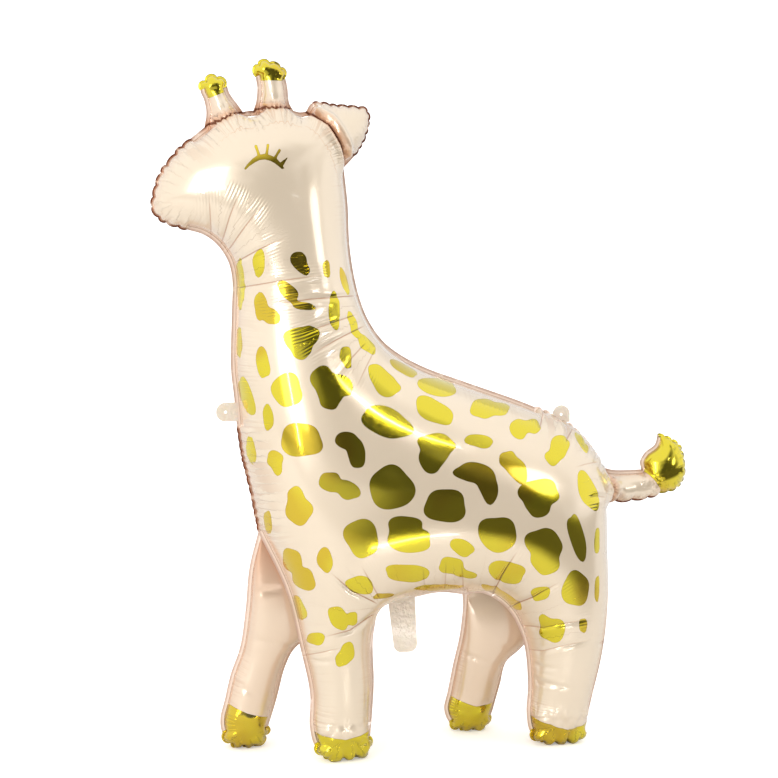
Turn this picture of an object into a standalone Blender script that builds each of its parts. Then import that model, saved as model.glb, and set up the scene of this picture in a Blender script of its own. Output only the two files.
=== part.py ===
"""Giraffe foil balloon, inflated and standing on its four feet.

Two printed outer sheets are welded together round the outline of a walking
giraffe. Between the legs, two folded gussets give every leg an inner sheet of
its own, so the four legs stand apart. Each sheet is meshed flat, inside its
own outline, and then raised to the height that a filled bag takes up.

The outline lies in the XZ plane, head towards -X, and the camera side is -Y.
"""
import math

import bmesh
import bpy
import numpy as np
from mathutils import Vector
from mathutils.geometry import delaunay_2d_cdt

# Driving sizes, in metres
HEIGHT = 1.005                # soles to the tip of the taller horn
LEG_SPREAD = 0.046            # from the middle plane to the seam of each sole
SEAM_WIDTH = 0.005            # flat welded rim along smooth edges
PUCKER_SEAM_WIDTH = 0.002     # rim that still shows where the edge is puckered
SEAM_HALF_THICKNESS = 0.0008  # two sheets of foil, each drawn this thick
FLATTEST_DEPTH = 0.240        # a bag gets flatter as its depth nears this size
GUSSET_GAP = 0.001            # half the gap between a near and a far leg

# Eyelet tabs, cut from the same sheets as the rim
TAB_WIDTH = 0.027
TAB_THICKNESS = 0.0014
TAB_ROOT = 0.012              # length that is welded into the rim
EYELET_DIAMETER = 0.0046
CHEST_TAB_REACH = 0.028       # from the edge of the chest to the tab's tip
BACK_TAB_REACH = 0.021
CHEST_TAB_HEADING = 180       # degrees, anticlockwise from +X as the camera sees it
BACK_TAB_HEADING = 90

# Flat filling neck under the belly
NECK_ROOT_WIDTH = 0.041
NECK_TIP_WIDTH = 0.036
NECK_LENGTH = 0.079
NECK_THICKNESS = 0.0014
NECK_CORNER = 0.012
NECK_LEAN = 0.006             # the tip lies this far behind the root

# The outline below is drawn at this height, and scaled from it
DRAWN_HEIGHT = 1005.0
SCALE = HEIGHT / DRAWN_HEIGHT

# Mesh density, in drawn millimetres
EDGE_STEP = 13.0
TIGHT_STEP = 7.0
RING_DEPTHS = (0.0, 3.5, 12.0)
LATTICE_STEP = 23.0
LATTICE_MARGIN = 20.0
FOLD_MARGIN = 5.0
PUCKER_SAMPLES = 4

# Corners where the near and far outlines part and meet again
CHEST_CORNER = (-258, 330)
BELLY_FRONT_CORNER = (-79, 211)
BELLY_REAR_CORNER = (53, 222)
RUMP_CORNER = (279, 286)
GUSSET_DEPTH = 200.0          # a leg reaches its full spread this far below the fold
FOLD_RISE = 12.0              # the fold arches this far above the line between its ends

# Smooth runs of the outline, anticlockwise, as (x, z) in drawn millimetres
RUMP = [RUMP_CORNER, (279, 320), (275, 355)]
TAIL_UNDER = [(275, 355), (291, 354), (318, 354), (343, 356), (366, 363)]
TUFT_OUTER = [(366, 363), (392, 369), (405, 385), (407, 404), (398, 434), (381, 447), (362, 454)]
TUFT_INNER = [(362, 454), (358, 438), (342, 426), (334, 413), (336, 400)]
TAIL_TOP = [(336, 400), (308, 400), (290, 401), (271, 406)]
BACK = [(271, 406), (259, 429), (222, 470), (164, 500), (53, 541), (-7, 563), (-47, 584),
        (-73, 605), (-94, 635), (-107, 667), (-117, 710), (-122, 750), (-124, 801), (-130, 854)]
EAR = [(-130, 854), (-114, 871), (-100, 894), (-92, 926), (-97, 938), (-112, 941), (-142, 943),
       (-176, 945), (-185, 933)]
CROWN_REAR = [(-185, 933), (-194, 932), (-203, 934)]
REAR_HORN = [(-203, 934), (-209, 944), (-212, 968), (-215, 980), (-220, 994), (-239, 1002),
             (-256, 997), (-257, 980), (-255, 965), (-257, 945), (-261, 933)]
CROWN_MIDDLE = [(-261, 933), (-268, 933), (-276, 931)]
FRONT_HORN = [(-276, 931), (-284, 942), (-295, 957), (-299, 968), (-306, 977), (-320, 980),
              (-333, 971), (-336, 960), (-331, 947), (-328, 929), (-331, 909)]
FACE = [(-331, 909), (-351, 893), (-368, 878), (-387, 855), (-398, 836), (-405, 812), (-406, 795),
        (-399, 784), (-387, 776), (-357, 766), (-336, 760), (-320, 750), (-308, 737), (-298, 719),
        (-293, 695), (-294, 649), (-296, 569), (-292, 529), (-288, 485), (-272, 401), CHEST_CORNER]
BELLY = [BELLY_FRONT_CORNER, (-53, 217), (-22, 222), (17, 227), BELLY_REAR_CORNER]
NEAR_FRONT_LEG = [CHEST_CORNER, (-222, 247), (-204, 164), (-192, 99), (-193, 50), (-186, 22),
                  (-170, 4), (-149, 2), (-127, 2), (-110, 9), (-103, 30), (-98, 69), (-94, 104),
                  (-91, 165), BELLY_FRONT_CORNER]
FAR_FRONT_LEG = [CHEST_CORNER, (-268, 274), (-271, 210), (-278, 152), (-292, 111), (-301, 74),
                 (-308, 45), (-305, 24), (-290, 5), (-274, 2), (-256, 2), (-243, 10), (-236, 30),
                 (-223, 71), (-210, 121), (-196, 148), (-150, 180), BELLY_FRONT_CORNER]
NEAR_HIND_LEG = [BELLY_REAR_CORNER, (84, 222), (118, 198), (137, 155), (141, 92), (138, 46),
                 (144, 18), (162, 3), (188, 2), (214, 3), (229, 18), (236, 42), (244, 75),
                 (256, 119), (265, 158), (273, 203), (278, 246), RUMP_CORNER]
FAR_HIND_LEG = [BELLY_REAR_CORNER, (55, 188), (54, 151), (48, 109), (42, 66), (37, 36), (46, 14),
                (64, 3), (82, 2), (100, 4), (112, 22), (119, 44), (126, 70), (134, 104), (156, 124),
                (215, 190), RUMP_CORNER]

# Puckers: first and last point of the run they lie on, their pitch and their depth
NO_PUCKERS = (0, 0, 1.0, 0.0)
FACE_PUCKERS = (3, 9, 12.0, 2.4)
EAR_PUCKERS = (1, 7, 13.0, 2.0)
HORN_PUCKERS = (3, 7, 15.0, 3.2)
TUFT_PUCKERS = (0, 6, 13.5, 2.8)
TAIL_PUCKERS = (0, 4, 23.0, 3.5)
NEAR_FRONT_SOLE = (5, 10, 19.0, 9.0)
FAR_FRONT_SOLE = (7, 12, 17.0, 9.0)
NEAR_HIND_SOLE = (6, 10, 19.0, 9.0)
FAR_HIND_SOLE = (6, 10, 17.0, 9.0)

# Where the tabs and the neck join the rim, in drawn millimetres
CHEST_TAB_PLACE = (-290, 506)
BACK_TAB_PLACE = (207, 478)
NECK_PLACE = (-42, 219)

FOIL_COLOUR = (0.82, 0.69, 0.56, 1.0)


def spline(points):
    """A centripetal Catmull-Rom curve through the points, with its knots' places."""
    pts = np.array(points, dtype=float)
    ends = np.vstack([2 * pts[0] - pts[1], pts, 2 * pts[-1] - pts[-2]])
    curve = []
    knots = [0]
    for i in range(len(pts) - 1):
        p0, p1, p2, p3 = ends[i:i + 4]
        t1 = math.sqrt(np.linalg.norm(p1 - p0))
        t2 = t1 + math.sqrt(np.linalg.norm(p2 - p1))
        t3 = t2 + math.sqrt(np.linalg.norm(p3 - p2))
        count = max(4, int(np.linalg.norm(p2 - p1)))
        for t in np.linspace(t1, t2, count, endpoint=False):
            a1 = (t1 - t) / t1 * p0 + t / t1 * p1
            a2 = (t2 - t) / (t2 - t1) * p1 + (t - t1) / (t2 - t1) * p2
            a3 = (t3 - t) / (t3 - t2) * p2 + (t - t2) / (t3 - t2) * p3
            b1 = (t2 - t) / t2 * a1 + t / t2 * a2
            b2 = (t3 - t) / (t3 - t1) * a2 + (t - t1) / (t3 - t1) * a3
            curve.append((t2 - t) / (t2 - t1) * b1 + (t - t1) / (t2 - t1) * b2)
        knots.append(len(curve))
    curve.append(pts[-1])
    return np.array(curve), knots


def run(points, step=EDGE_STEP, puckers=NO_PUCKERS):
    """Rows of (x, z, seam width) along one smooth run, without its last point."""
    curve, knots = spline(points)
    travel = np.concatenate([[0.0], np.cumsum(np.linalg.norm(np.diff(curve, axis=0), axis=1))])
    first, last, pitch, depth = puckers
    start = travel[knots[first]]
    stop = travel[knots[last]]
    bulbs = max(1, round((stop - start) / pitch))
    spans = [(0.0, start, 0), (start, stop, bulbs), (stop, travel[-1], 0)]
    rows = []
    for low, high, count in spans:
        if high - low < 1e-6:
            continue
        parts = count * PUCKER_SAMPLES if count else max(1, round((high - low) / step))
        for k in range(parts):
            s = low + (high - low) * k / parts
            here = np.array([np.interp(s, travel, curve[:, 0]), np.interp(s, travel, curve[:, 1])])
            ahead = np.array([np.interp(s + 1.0, travel, curve[:, 0]),
                              np.interp(s + 1.0, travel, curve[:, 1])])
            behind = np.array([np.interp(s - 1.0, travel, curve[:, 0]),
                               np.interp(s - 1.0, travel, curve[:, 1])])
            along = (ahead - behind) / np.linalg.norm(ahead - behind)
            outward = np.array([along[1], -along[0]])
            width = SEAM_WIDTH / SCALE
            if count:
                here = here + outward * depth * abs(math.sin(math.pi * k / PUCKER_SAMPLES))
                width = PUCKER_SEAM_WIDTH / SCALE
            rows.append((here[0], here[1], width))
    return rows


def spread_below(fold, rows):
    """The same rows with a fourth column: each point's distance from the middle plane."""
    start = np.array(fold[0], dtype=float)
    along = np.array(fold[1], dtype=float) - start
    along = along / np.linalg.norm(along)
    down = np.array([along[1], -along[0]])
    down = down if down[1] < 0 else -down
    out = []
    for x, z, width in rows:
        drop = float(np.dot(np.array([x, z]) - start, down))
        share = min(1.0, max(0.0, drop / GUSSET_DEPTH))
        out.append((x, z, width, LEG_SPREAD / SCALE * math.sin(share * math.pi / 2)))
    return out


def flat(rows):
    """Rows that lie on the middle plane."""
    return [(x, z, width, 0.0) for x, z, width in rows]


def fold_line(start, end):
    """Rows along the arched fold of a gusset, from start towards end, without the last point."""
    parts = round(math.dist(start, end) / EDGE_STEP)
    rows = []
    for k in range(parts):
        share = k / parts
        rise = FOLD_RISE * math.sin(math.pi * share)
        rows.append((start[0] + share * (end[0] - start[0]),
                     start[1] + share * (end[1] - start[1]) + rise, 0.0, 0.0))
    return rows


def distance_to(edges, points):
    """Each point's distance to the nearest of the edges, given as rows of (ax, az, bx, bz)."""
    a = edges[:, :2]
    ab = edges[:, 2:] - a
    length = np.maximum((ab ** 2).sum(axis=1), 1e-12)
    best = np.full(len(points), np.inf)
    for i in range(len(edges)):
        rel = points - a[i]
        share = np.clip((rel @ ab[i]) / length[i], 0.0, 1.0)
        gap = np.linalg.norm(rel - share[:, None] * ab[i], axis=1)
        best = np.minimum(best, gap)
    return best


def inside(polygon, points):
    """Whether each point lies inside the polygon."""
    odd = np.zeros(len(points), dtype=bool)
    x, z = points[:, 0], points[:, 1]
    for (ax, az), (bx, bz) in zip(polygon, np.roll(polygon, -1, axis=0)):
        if az == bz:
            continue
        crosses = (az > z) != (bz > z)
        odd ^= crosses & (x < (bx - ax) * (z - az) / (bz - az) + ax)
    return odd


def sheet(rim, fold=()):
    """Mesh one flat sheet inside its rim and its fold, and say where it is held.

    Gives the points, the triangles, the rim and fold points' count, and a mask
    of the points on the weld line.
    """
    rows = np.array(list(rim) + list(fold))
    border = rows[:, :2]
    edges = np.hstack([border, np.roll(border, -1, axis=0)])
    fold_edges = edges[len(rim):] if len(fold) else None
    ahead = np.roll(border, -1, axis=0)
    behind = np.roll(border, 1, axis=0)
    along = ahead - behind
    along /= np.linalg.norm(along, axis=1)[:, None]
    inward = np.stack([-along[:, 1], along[:, 0]], axis=1)
    kept = [border]
    weld = [np.zeros(len(border), dtype=bool)]
    for ring, depth in enumerate(RING_DEPTHS):
        reach = rows[:len(rim), 2] + depth
        candidates = border[:len(rim)] + inward[:len(rim)] * reach[:, None]
        good = inside(border, candidates) & (distance_to(edges, candidates) > 0.86 * reach)
        if fold_edges is not None:
            good &= distance_to(fold_edges, candidates) > FOLD_MARGIN
        chosen = []
        last = None
        for point, fine in zip(candidates, good):
            crowded = last is not None and math.dist(point, last) < 0.35 * EDGE_STEP * (0.5 + ring)
            if fine and not crowded:
                chosen.append(point)
                last = point
        kept.append(np.array(chosen).reshape(-1, 2))
        weld.append(np.full(len(chosen), ring == 0))
    low = border.min(axis=0)
    high = border.max(axis=0)
    row_step = LATTICE_STEP * math.sqrt(3) / 2
    lattice = []
    for j in range(int((high[1] - low[1]) / row_step) + 1):
        for i in range(int((high[0] - low[0]) / LATTICE_STEP) + 2):
            lattice.append((low[0] + (i + 0.5 * (j % 2)) * LATTICE_STEP, low[1] + j * row_step))
    lattice = np.array(lattice)
    lattice = lattice[inside(border, lattice) & (distance_to(edges, lattice) > LATTICE_MARGIN)]
    kept.append(lattice)
    weld.append(np.zeros(len(lattice), dtype=bool))
    points = np.vstack(kept)
    count = len(border)
    coords = [Vector((float(x), float(z))) for x, z in points]
    loop = [(i, (i + 1) % count) for i in range(count)]
    solved = delaunay_2d_cdt(coords, loop, [], 0, 1e-6, False)
    if len(solved[0]) != len(points):
        raise RuntimeError("the rim crosses itself")
    triangles = np.array([list(face) for face in solved[2]])
    triangles = triangles[inside(border, points[triangles].mean(axis=1))]
    return points, triangles, count, np.concatenate(weld)


def membrane(points, triangles, held, values, load):
    """The height of a skin stretched over the sheet: held at values, pushed by load."""
    a, b, c = (points[triangles[:, k]] for k in range(3))
    area = 0.5 * ((b[:, 0] - a[:, 0]) * (c[:, 1] - a[:, 1]) - (c[:, 0] - a[:, 0]) * (b[:, 1] - a[:, 1]))
    gx = np.stack([b[:, 1] - c[:, 1], c[:, 1] - a[:, 1], a[:, 1] - b[:, 1]], axis=1)
    gz = np.stack([c[:, 0] - b[:, 0], a[:, 0] - c[:, 0], b[:, 0] - a[:, 0]], axis=1)
    stiffness = np.zeros((len(points), len(points)))
    force = np.zeros(len(points))
    for i in range(3):
        np.add.at(force, triangles[:, i], load * area / 3)
        for j in range(3):
            share = (gx[:, i] * gx[:, j] + gz[:, i] * gz[:, j]) / (4 * area)
            np.add.at(stiffness, (triangles[:, i], triangles[:, j]), share)
    free = ~held
    height = np.array(values, dtype=float)
    known = stiffness[np.ix_(free, held)] @ height[held]
    height[free] = np.linalg.solve(stiffness[np.ix_(free, free)], force[free] - known)
    return height


def swell(points, triangles, count, weld):
    """How far the gas lifts each point of a sheet off the plane of its rim."""
    held = weld.copy()
    held[:count] = True
    filled = membrane(points, triangles, held, np.zeros(len(points)), 1.0)
    rim = SEAM_HALF_THICKNESS / SCALE
    lift = np.sqrt(2 * np.maximum(filled, 0.0) + rim ** 2)
    lift /= np.sqrt(1 + (lift * SCALE / FLATTEST_DEPTH) ** 2)
    lift[:count] = 0.0
    return lift


def lean(points, triangles, count, spreads):
    """How far the plane of the rim stands off the middle plane, smoothly over the sheet."""
    held = np.zeros(len(points), dtype=bool)
    held[:count] = True
    values = np.zeros(len(points))
    values[:count] = spreads
    return membrane(points, triangles, held, values, 0.0)


def outer_sheet(rim, side):
    """A printed outer sheet: side is -1 for the near one and 1 for the far one."""
    points, triangles, count, weld = sheet(rim)
    off = lean(points, triangles, count, [row[3] for row in rim])
    y = side * (off + swell(points, triangles, count, weld))
    return points, y, triangles if side < 0 else triangles[:, ::-1]


def gusset(rim, fold, side):
    """The inner sheet of a leg, kept clear of the other leg of its pair."""
    points, triangles, count, weld = sheet(rim, fold)
    spreads = [row[3] for row in rim] + [0.0] * len(fold)
    off = lean(points, triangles, count, spreads)
    lift = swell(points, triangles, count, weld)
    room = np.maximum(off - np.minimum(0.5 * off, GUSSET_GAP / SCALE), 1e-9)
    pressed = lift / (1 + (lift / room) ** 3) ** (1 / 3)
    pressed[:count] = 0.0
    y = side * (off - pressed)
    return points, y, triangles[:, ::-1] if side < 0 else triangles


def rims():
    """The outlines: what both sides share, the belly, and the four legs."""
    front_fold = (CHEST_CORNER, BELLY_FRONT_CORNER)
    hind_fold = (BELLY_REAR_CORNER, RUMP_CORNER)
    upper = (run(RUMP) + run(TAIL_UNDER, TIGHT_STEP, TAIL_PUCKERS)
             + run(TUFT_OUTER, TIGHT_STEP, TUFT_PUCKERS) + run(TUFT_INNER, TIGHT_STEP)
             + run(TAIL_TOP, TIGHT_STEP) + run(BACK) + run(EAR, TIGHT_STEP, EAR_PUCKERS)
             + run(CROWN_REAR, TIGHT_STEP) + run(REAR_HORN, TIGHT_STEP, HORN_PUCKERS)
             + run(CROWN_MIDDLE, TIGHT_STEP) + run(FRONT_HORN, TIGHT_STEP, HORN_PUCKERS)
             + run(FACE, EDGE_STEP, FACE_PUCKERS))
    return {"upper": flat(upper),
            "belly": flat(run(BELLY)),
            "near_front": spread_below(front_fold, run(NEAR_FRONT_LEG, EDGE_STEP, NEAR_FRONT_SOLE)),
            "far_front": spread_below(front_fold, run(FAR_FRONT_LEG, EDGE_STEP, FAR_FRONT_SOLE)),
            "near_hind": spread_below(hind_fold, run(NEAR_HIND_LEG, EDGE_STEP, NEAR_HIND_SOLE)),
            "far_hind": spread_below(hind_fold, run(FAR_HIND_LEG, EDGE_STEP, FAR_HIND_SOLE))}


def envelope(edges, middle, collection, material):
    """The sealed foil bag: both outer sheets and the four gussets, cut flat at the soles."""
    front_line = fold_line(BELLY_FRONT_CORNER, CHEST_CORNER)
    hind_line = fold_line(RUMP_CORNER, BELLY_REAR_CORNER)
    near_rim = edges["upper"] + edges["near_front"] + edges["belly"] + edges["near_hind"]
    far_rim = edges["upper"] + edges["far_front"] + edges["belly"] + edges["far_hind"]
    sheets = [outer_sheet(near_rim, -1), outer_sheet(far_rim, 1),
              gusset(edges["near_front"], front_line, -1), gusset(edges["far_front"], front_line, 1),
              gusset(edges["near_hind"], hind_line, -1), gusset(edges["far_hind"], hind_line, 1)]
    bm = bmesh.new()
    for points, y, triangles in sheets:
        verts = [bm.verts.new(((p[0] - middle) * SCALE, d * SCALE, p[1] * SCALE))
                 for p, d in zip(points, y)]
        for triangle in triangles:
            bm.faces.new([verts[i] for i in triangle])
    bmesh.ops.remove_doubles(bm, verts=bm.verts, dist=1e-6)
    everything = bm.verts[:] + bm.edges[:] + bm.faces[:]
    bmesh.ops.bisect_plane(bm, geom=everything, dist=1e-6, plane_co=(0, 0, 0), plane_no=(0, 0, 1),
                           clear_inner=True)
    soles = [edge for edge in bm.edges if edge.is_boundary]
    bmesh.ops.holes_fill(bm, edges=soles, sides=0)
    bmesh.ops.triangulate(bm, faces=bm.faces)
    mesh = bpy.data.meshes.new("balloon_envelope")
    bm.to_mesh(mesh)
    bm.free()
    mesh.shade_smooth()
    mesh.set_sharp_from_angle(angle=math.radians(50))
    body = bpy.data.objects.new("balloon_envelope", mesh)
    collection.objects.link(body)
    mesh.materials.append(material)
    return body


def slab(name, shapes, thickness, collection):
    """A flat slab of foil in the XZ plane, from closed outlines; the second one is a hole."""
    curve = bpy.data.curves.new(name, 'CURVE')
    curve.dimensions = '2D'
    curve.fill_mode = 'BOTH'
    curve.extrude = thickness / 2
    for shape in shapes:
        line = curve.splines.new('POLY')
        line.points.add(len(shape) - 1)
        for point, (x, z) in zip(line.points, shape):
            point.co = (x, z, 0.0, 1.0)
        line.use_cyclic_u = True
    drawn = bpy.data.objects.new(name + "_curve", curve)
    drawn.rotation_euler = (math.pi / 2, 0, 0)
    collection.objects.link(drawn)
    bpy.context.view_layer.update()
    graph = bpy.context.evaluated_depsgraph_get()
    mesh = bpy.data.meshes.new_from_object(drawn.evaluated_get(graph))
    bm = bmesh.new()
    bm.from_mesh(mesh)
    bmesh.ops.remove_doubles(bm, verts=bm.verts, dist=1e-6)
    bm.transform(drawn.matrix_world)
    bmesh.ops.recalc_face_normals(bm, faces=bm.faces)
    bm.to_mesh(mesh)
    bm.free()
    bpy.data.objects.remove(drawn)
    tool = bpy.data.objects.new(name, mesh)
    tool.hide_render = True
    tool.display_type = 'WIRE'
    collection.objects.link(tool)
    return tool


def arc(centre, radius, start, end, parts):
    """Points on an arc, both ends included, with angles in degrees."""
    points = []
    for k in range(parts + 1):
        angle = math.radians(start + (end - start) * k / parts)
        points.append((centre[0] + radius * math.cos(angle), centre[1] + radius * math.sin(angle)))
    return points


def eyelet_tab(name, edge_point, heading, reach, collection):
    """A round-ended tab with a string eyelet; heading is its direction in degrees."""
    radius = TAB_WIDTH / 2
    tip = reach - radius
    outer = [(-TAB_ROOT, -radius)] + arc((tip, 0), radius, -90, 90, 12) + [(-TAB_ROOT, radius)]
    hole = arc((tip, 0), EYELET_DIAMETER / 2, 0, 330, 11)
    turn = math.radians(heading)
    shapes = []
    for shape in (outer, hole):
        shapes.append([(edge_point[0] + x * math.cos(turn) - z * math.sin(turn),
                        edge_point[1] + x * math.sin(turn) + z * math.cos(turn)) for x, z in shape])
    return slab(name, shapes, TAB_THICKNESS, collection)


def filling_neck(name, root, collection):
    """The flat filling neck: a strip that tapers downwards to two rounded corners."""
    top = NECK_ROOT_WIDTH / 2
    low = NECK_TIP_WIDTH / 2
    corner = NECK_CORNER
    x, z = root
    foot = z - NECK_LENGTH
    shape = [(x - top, z + TAB_ROOT), (x - top, z)]
    shape += arc((x + NECK_LEAN - low + corner, foot + corner), corner, 180, 270, 5)
    shape += arc((x + NECK_LEAN + low - corner, foot + corner), corner, 270, 360, 5)
    shape += [(x + top, z), (x + top, z + TAB_ROOT)]
    return slab(name, [shape], NECK_THICKNESS, collection)


def edge_at(rim, middle, place):
    """The rim's point nearest to a drawn place, in metres."""
    nearest = min(rim, key=lambda row: math.dist(place, row[:2]))
    return (nearest[0] - middle) * SCALE, nearest[1] * SCALE


def foil():
    """Pearl foil: a thin metal layer under a blush print."""
    material = bpy.data.materials.new("pearl_foil")
    material.use_nodes = True
    shader = material.node_tree.nodes["Principled BSDF"]
    shader.inputs["Base Color"].default_value = FOIL_COLOUR
    shader.inputs["Roughness"].default_value = 0.22
    shader.inputs["Metallic"].default_value = 0.35
    return material


def main():
    for obj in list(bpy.data.objects):
        bpy.data.objects.remove(obj)
    parts = bpy.data.collections.new("giraffe_foil_balloon")
    tools = bpy.data.collections.new("welded_tabs")
    bpy.context.scene.collection.children.link(parts)
    bpy.context.scene.collection.children.link(tools)
    edges = rims()
    across = [row[0] for row in edges["upper"]]
    middle = (min(across) + max(across)) / 2
    body = envelope(edges, middle, parts, foil())
    chest = edge_at(edges["upper"], middle, CHEST_TAB_PLACE)
    back = edge_at(edges["upper"], middle, BACK_TAB_PLACE)
    belly = edge_at(edges["belly"], middle, NECK_PLACE)
    welded = [eyelet_tab("chest_tab", chest, CHEST_TAB_HEADING, CHEST_TAB_REACH, tools),
              eyelet_tab("back_tab", back, BACK_TAB_HEADING, BACK_TAB_REACH, tools),
              filling_neck("filling_neck", belly, tools)]
    for tool in welded:
        union = body.modifiers.new(tool.name, 'BOOLEAN')
        union.operation = 'UNION'
        union.solver = 'EXACT'
        union.object = tool


if __name__ == "__main__":
    main()
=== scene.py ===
"""Looks of the giraffe foil balloon, laid out as a Blender add-on and run as a script.

The foil bag is drawn as its flat cut sheets, raised by the gas inside, and then
puckered along its welds and creased across its bends. Its print is gold mirror
spots on blush pearl. The two eyelet tabs and the filling neck are flat film.
"""
import math
import random
from functools import partial

import bmesh
import bpy
import numpy as np
from bpy.props import FloatProperty, FloatVectorProperty, PointerProperty
from mathutils import Matrix, Vector
from mathutils.geometry import delaunay_2d_cdt
from mathutils.kdtree import KDTree


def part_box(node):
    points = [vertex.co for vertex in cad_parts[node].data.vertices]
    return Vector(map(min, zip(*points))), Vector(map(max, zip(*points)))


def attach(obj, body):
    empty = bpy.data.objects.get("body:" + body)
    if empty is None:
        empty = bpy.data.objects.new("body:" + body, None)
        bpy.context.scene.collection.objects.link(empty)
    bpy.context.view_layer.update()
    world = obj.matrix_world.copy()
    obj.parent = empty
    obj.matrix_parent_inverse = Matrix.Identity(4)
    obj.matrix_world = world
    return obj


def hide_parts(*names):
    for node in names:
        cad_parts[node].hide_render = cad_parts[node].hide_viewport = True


bl_info = {
    "name": "Giraffe foil balloon",
    "version": (1, 0, 0),
    "blender": (4, 5, 0),
    "location": "View3D > Sidebar > Balloon",
    "description": "Dresses the packed giraffe balloon as welded, gas-filled foil",
    "category": "Object",
}

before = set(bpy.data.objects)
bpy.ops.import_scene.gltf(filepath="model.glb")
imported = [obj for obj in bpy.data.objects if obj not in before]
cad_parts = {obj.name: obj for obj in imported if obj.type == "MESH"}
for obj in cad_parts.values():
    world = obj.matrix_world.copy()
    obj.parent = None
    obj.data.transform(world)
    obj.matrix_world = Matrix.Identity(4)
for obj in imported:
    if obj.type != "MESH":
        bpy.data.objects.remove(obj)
CAD_LOW, CAD_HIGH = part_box("balloon_envelope")

# The outline is drawn in millimetres, and scaled to the CAD envelope's height
DRAWN_SPAN = 1005.18
SCALE = (CAD_HIGH.z - CAD_LOW.z) / DRAWN_SPAN

# Corners where the near and far outlines part and meet again
CHEST_CORNER = (-258, 330)
BELLY_FRONT_CORNER = (-79, 211)
BELLY_REAR_CORNER = (53, 222)
RUMP_CORNER = (279, 286)

# Smooth runs of the outline, anticlockwise, as (x, z)
RUMP = [RUMP_CORNER, (279, 320), (275, 355)]
TAIL_UNDER = [(275, 355), (291, 354), (318, 354), (343, 356), (366, 363)]
TUFT_OUTER = [(366, 363), (392, 369), (405, 385), (407, 404), (398, 434), (381, 447), (362, 454)]
TUFT_INNER = [(362, 454), (358, 438), (342, 426), (334, 413), (336, 400)]
TAIL_TOP = [(336, 400), (308, 400), (290, 401), (271, 406)]
BACK = [(271, 406), (259, 429), (222, 470), (164, 500), (53, 541), (-7, 563), (-47, 584),
        (-73, 605), (-94, 635), (-107, 667), (-117, 710), (-122, 750), (-124, 801), (-130, 854)]
EAR = [(-130, 854), (-114, 871), (-100, 894), (-92, 926), (-97, 938), (-112, 941), (-142, 943),
       (-176, 945), (-185, 933)]
CROWN_REAR = [(-185, 933), (-194, 932), (-203, 934)]
REAR_HORN = [(-203, 934), (-209, 944), (-212, 968), (-215, 980), (-220, 994), (-239, 1002),
             (-256, 997), (-257, 980), (-255, 965), (-257, 945), (-261, 933)]
CROWN_MIDDLE = [(-261, 933), (-268, 933), (-276, 931)]
FRONT_HORN = [(-276, 931), (-284, 942), (-295, 957), (-299, 968), (-306, 977), (-320, 980),
              (-333, 971), (-336, 960), (-331, 947), (-328, 929), (-331, 909)]
FACE = [(-331, 909), (-351, 893), (-368, 878), (-387, 855), (-398, 836), (-405, 812), (-406, 795),
        (-399, 784), (-387, 776), (-357, 766), (-336, 760), (-320, 750), (-308, 737), (-298, 719),
        (-293, 695), (-294, 649), (-296, 569), (-292, 529), (-288, 485)]
CHEST = [(-288, 485), (-282, 443), (-272, 401), CHEST_CORNER]
BELLY = [BELLY_FRONT_CORNER, (-53, 217), (-22, 222), (17, 227), BELLY_REAR_CORNER]
NEAR_FRONT_LEG = [CHEST_CORNER, (-222, 247), (-204, 164), (-192, 99), (-193, 50), (-186, 22),
                  (-170, 4), (-149, 2), (-127, 2), (-110, 9), (-103, 30), (-98, 69), (-94, 104),
                  (-91, 165), BELLY_FRONT_CORNER]
FAR_FRONT_LEG = [CHEST_CORNER, (-268, 274), (-271, 210), (-278, 152), (-292, 111), (-301, 74),
                 (-308, 45), (-305, 24), (-290, 5), (-274, 2), (-256, 2), (-243, 10), (-236, 30),
                 (-223, 71), (-210, 121), (-196, 148), (-150, 180), BELLY_FRONT_CORNER]
NEAR_HIND_LEG = [BELLY_REAR_CORNER, (84, 222), (118, 198), (137, 155), (141, 92), (138, 46),
                 (144, 18), (162, 3), (188, 2), (214, 3), (229, 18), (236, 42), (244, 75),
                 (256, 119), (265, 158), (273, 203), (278, 246), RUMP_CORNER]
FAR_HIND_LEG = [BELLY_REAR_CORNER, (55, 188), (54, 151), (48, 109), (42, 66), (37, 36), (46, 14),
                (64, 3), (82, 2), (100, 4), (112, 22), (119, 44), (126, 70), (134, 104), (156, 124),
                (215, 190), RUMP_CORNER]

# The two leg folds, each from the corner where its gusset begins to where it ends
FRONT_FOLD = (CHEST_CORNER, BELLY_FRONT_CORNER)
HIND_FOLD = (BELLY_REAR_CORNER, RUMP_CORNER)

# Puckers of a run: its first and last point, the bulbs' pitch, how far they stand
# out, how many pitches their pleats reach inwards, how high each bulb is blown up,
# and how brown its edge is painted, as shade
FACE_PUCKERS = (1, 9, 16.0, 2.7, 0.9, 1.0, 1.0)
EAR_PUCKERS = (1, 7, 13.0, 2.2, 0.55, 0.5, 1.0)
CHEST_PUCKERS = (0, 3, 11.5, 1.3, 0.9, 0.3, 1.0)
HORN_PUCKERS = (3, 7, 16.0, 4.2, 0.6, 2.6, 0.25)
TUFT_PUCKERS = (0, 6, 13.0, 2.8, 1.1, 1.6, 0.4)
TAIL_PUCKERS = (0, 4, 23.0, 3.5, 0.8, 1.6, 1.0)
RUMP_PUCKERS = (0, 3, 15.0, 2.8, 1.5, 1.4, 0.1)
NEAR_FRONT_SOLE = (5, 10, 20.0, 6.0, 1.2, 4.6, 0.15)
FAR_FRONT_SOLE = (7, 12, 18.0, 6.0, 1.2, 4.4, 0.15)
NEAR_HIND_SOLE = (6, 10, 20.0, 6.0, 1.2, 4.6, 0.15)
FAR_HIND_SOLE = (6, 10, 18.0, 6.0, 1.2, 4.4, 0.15)

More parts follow.
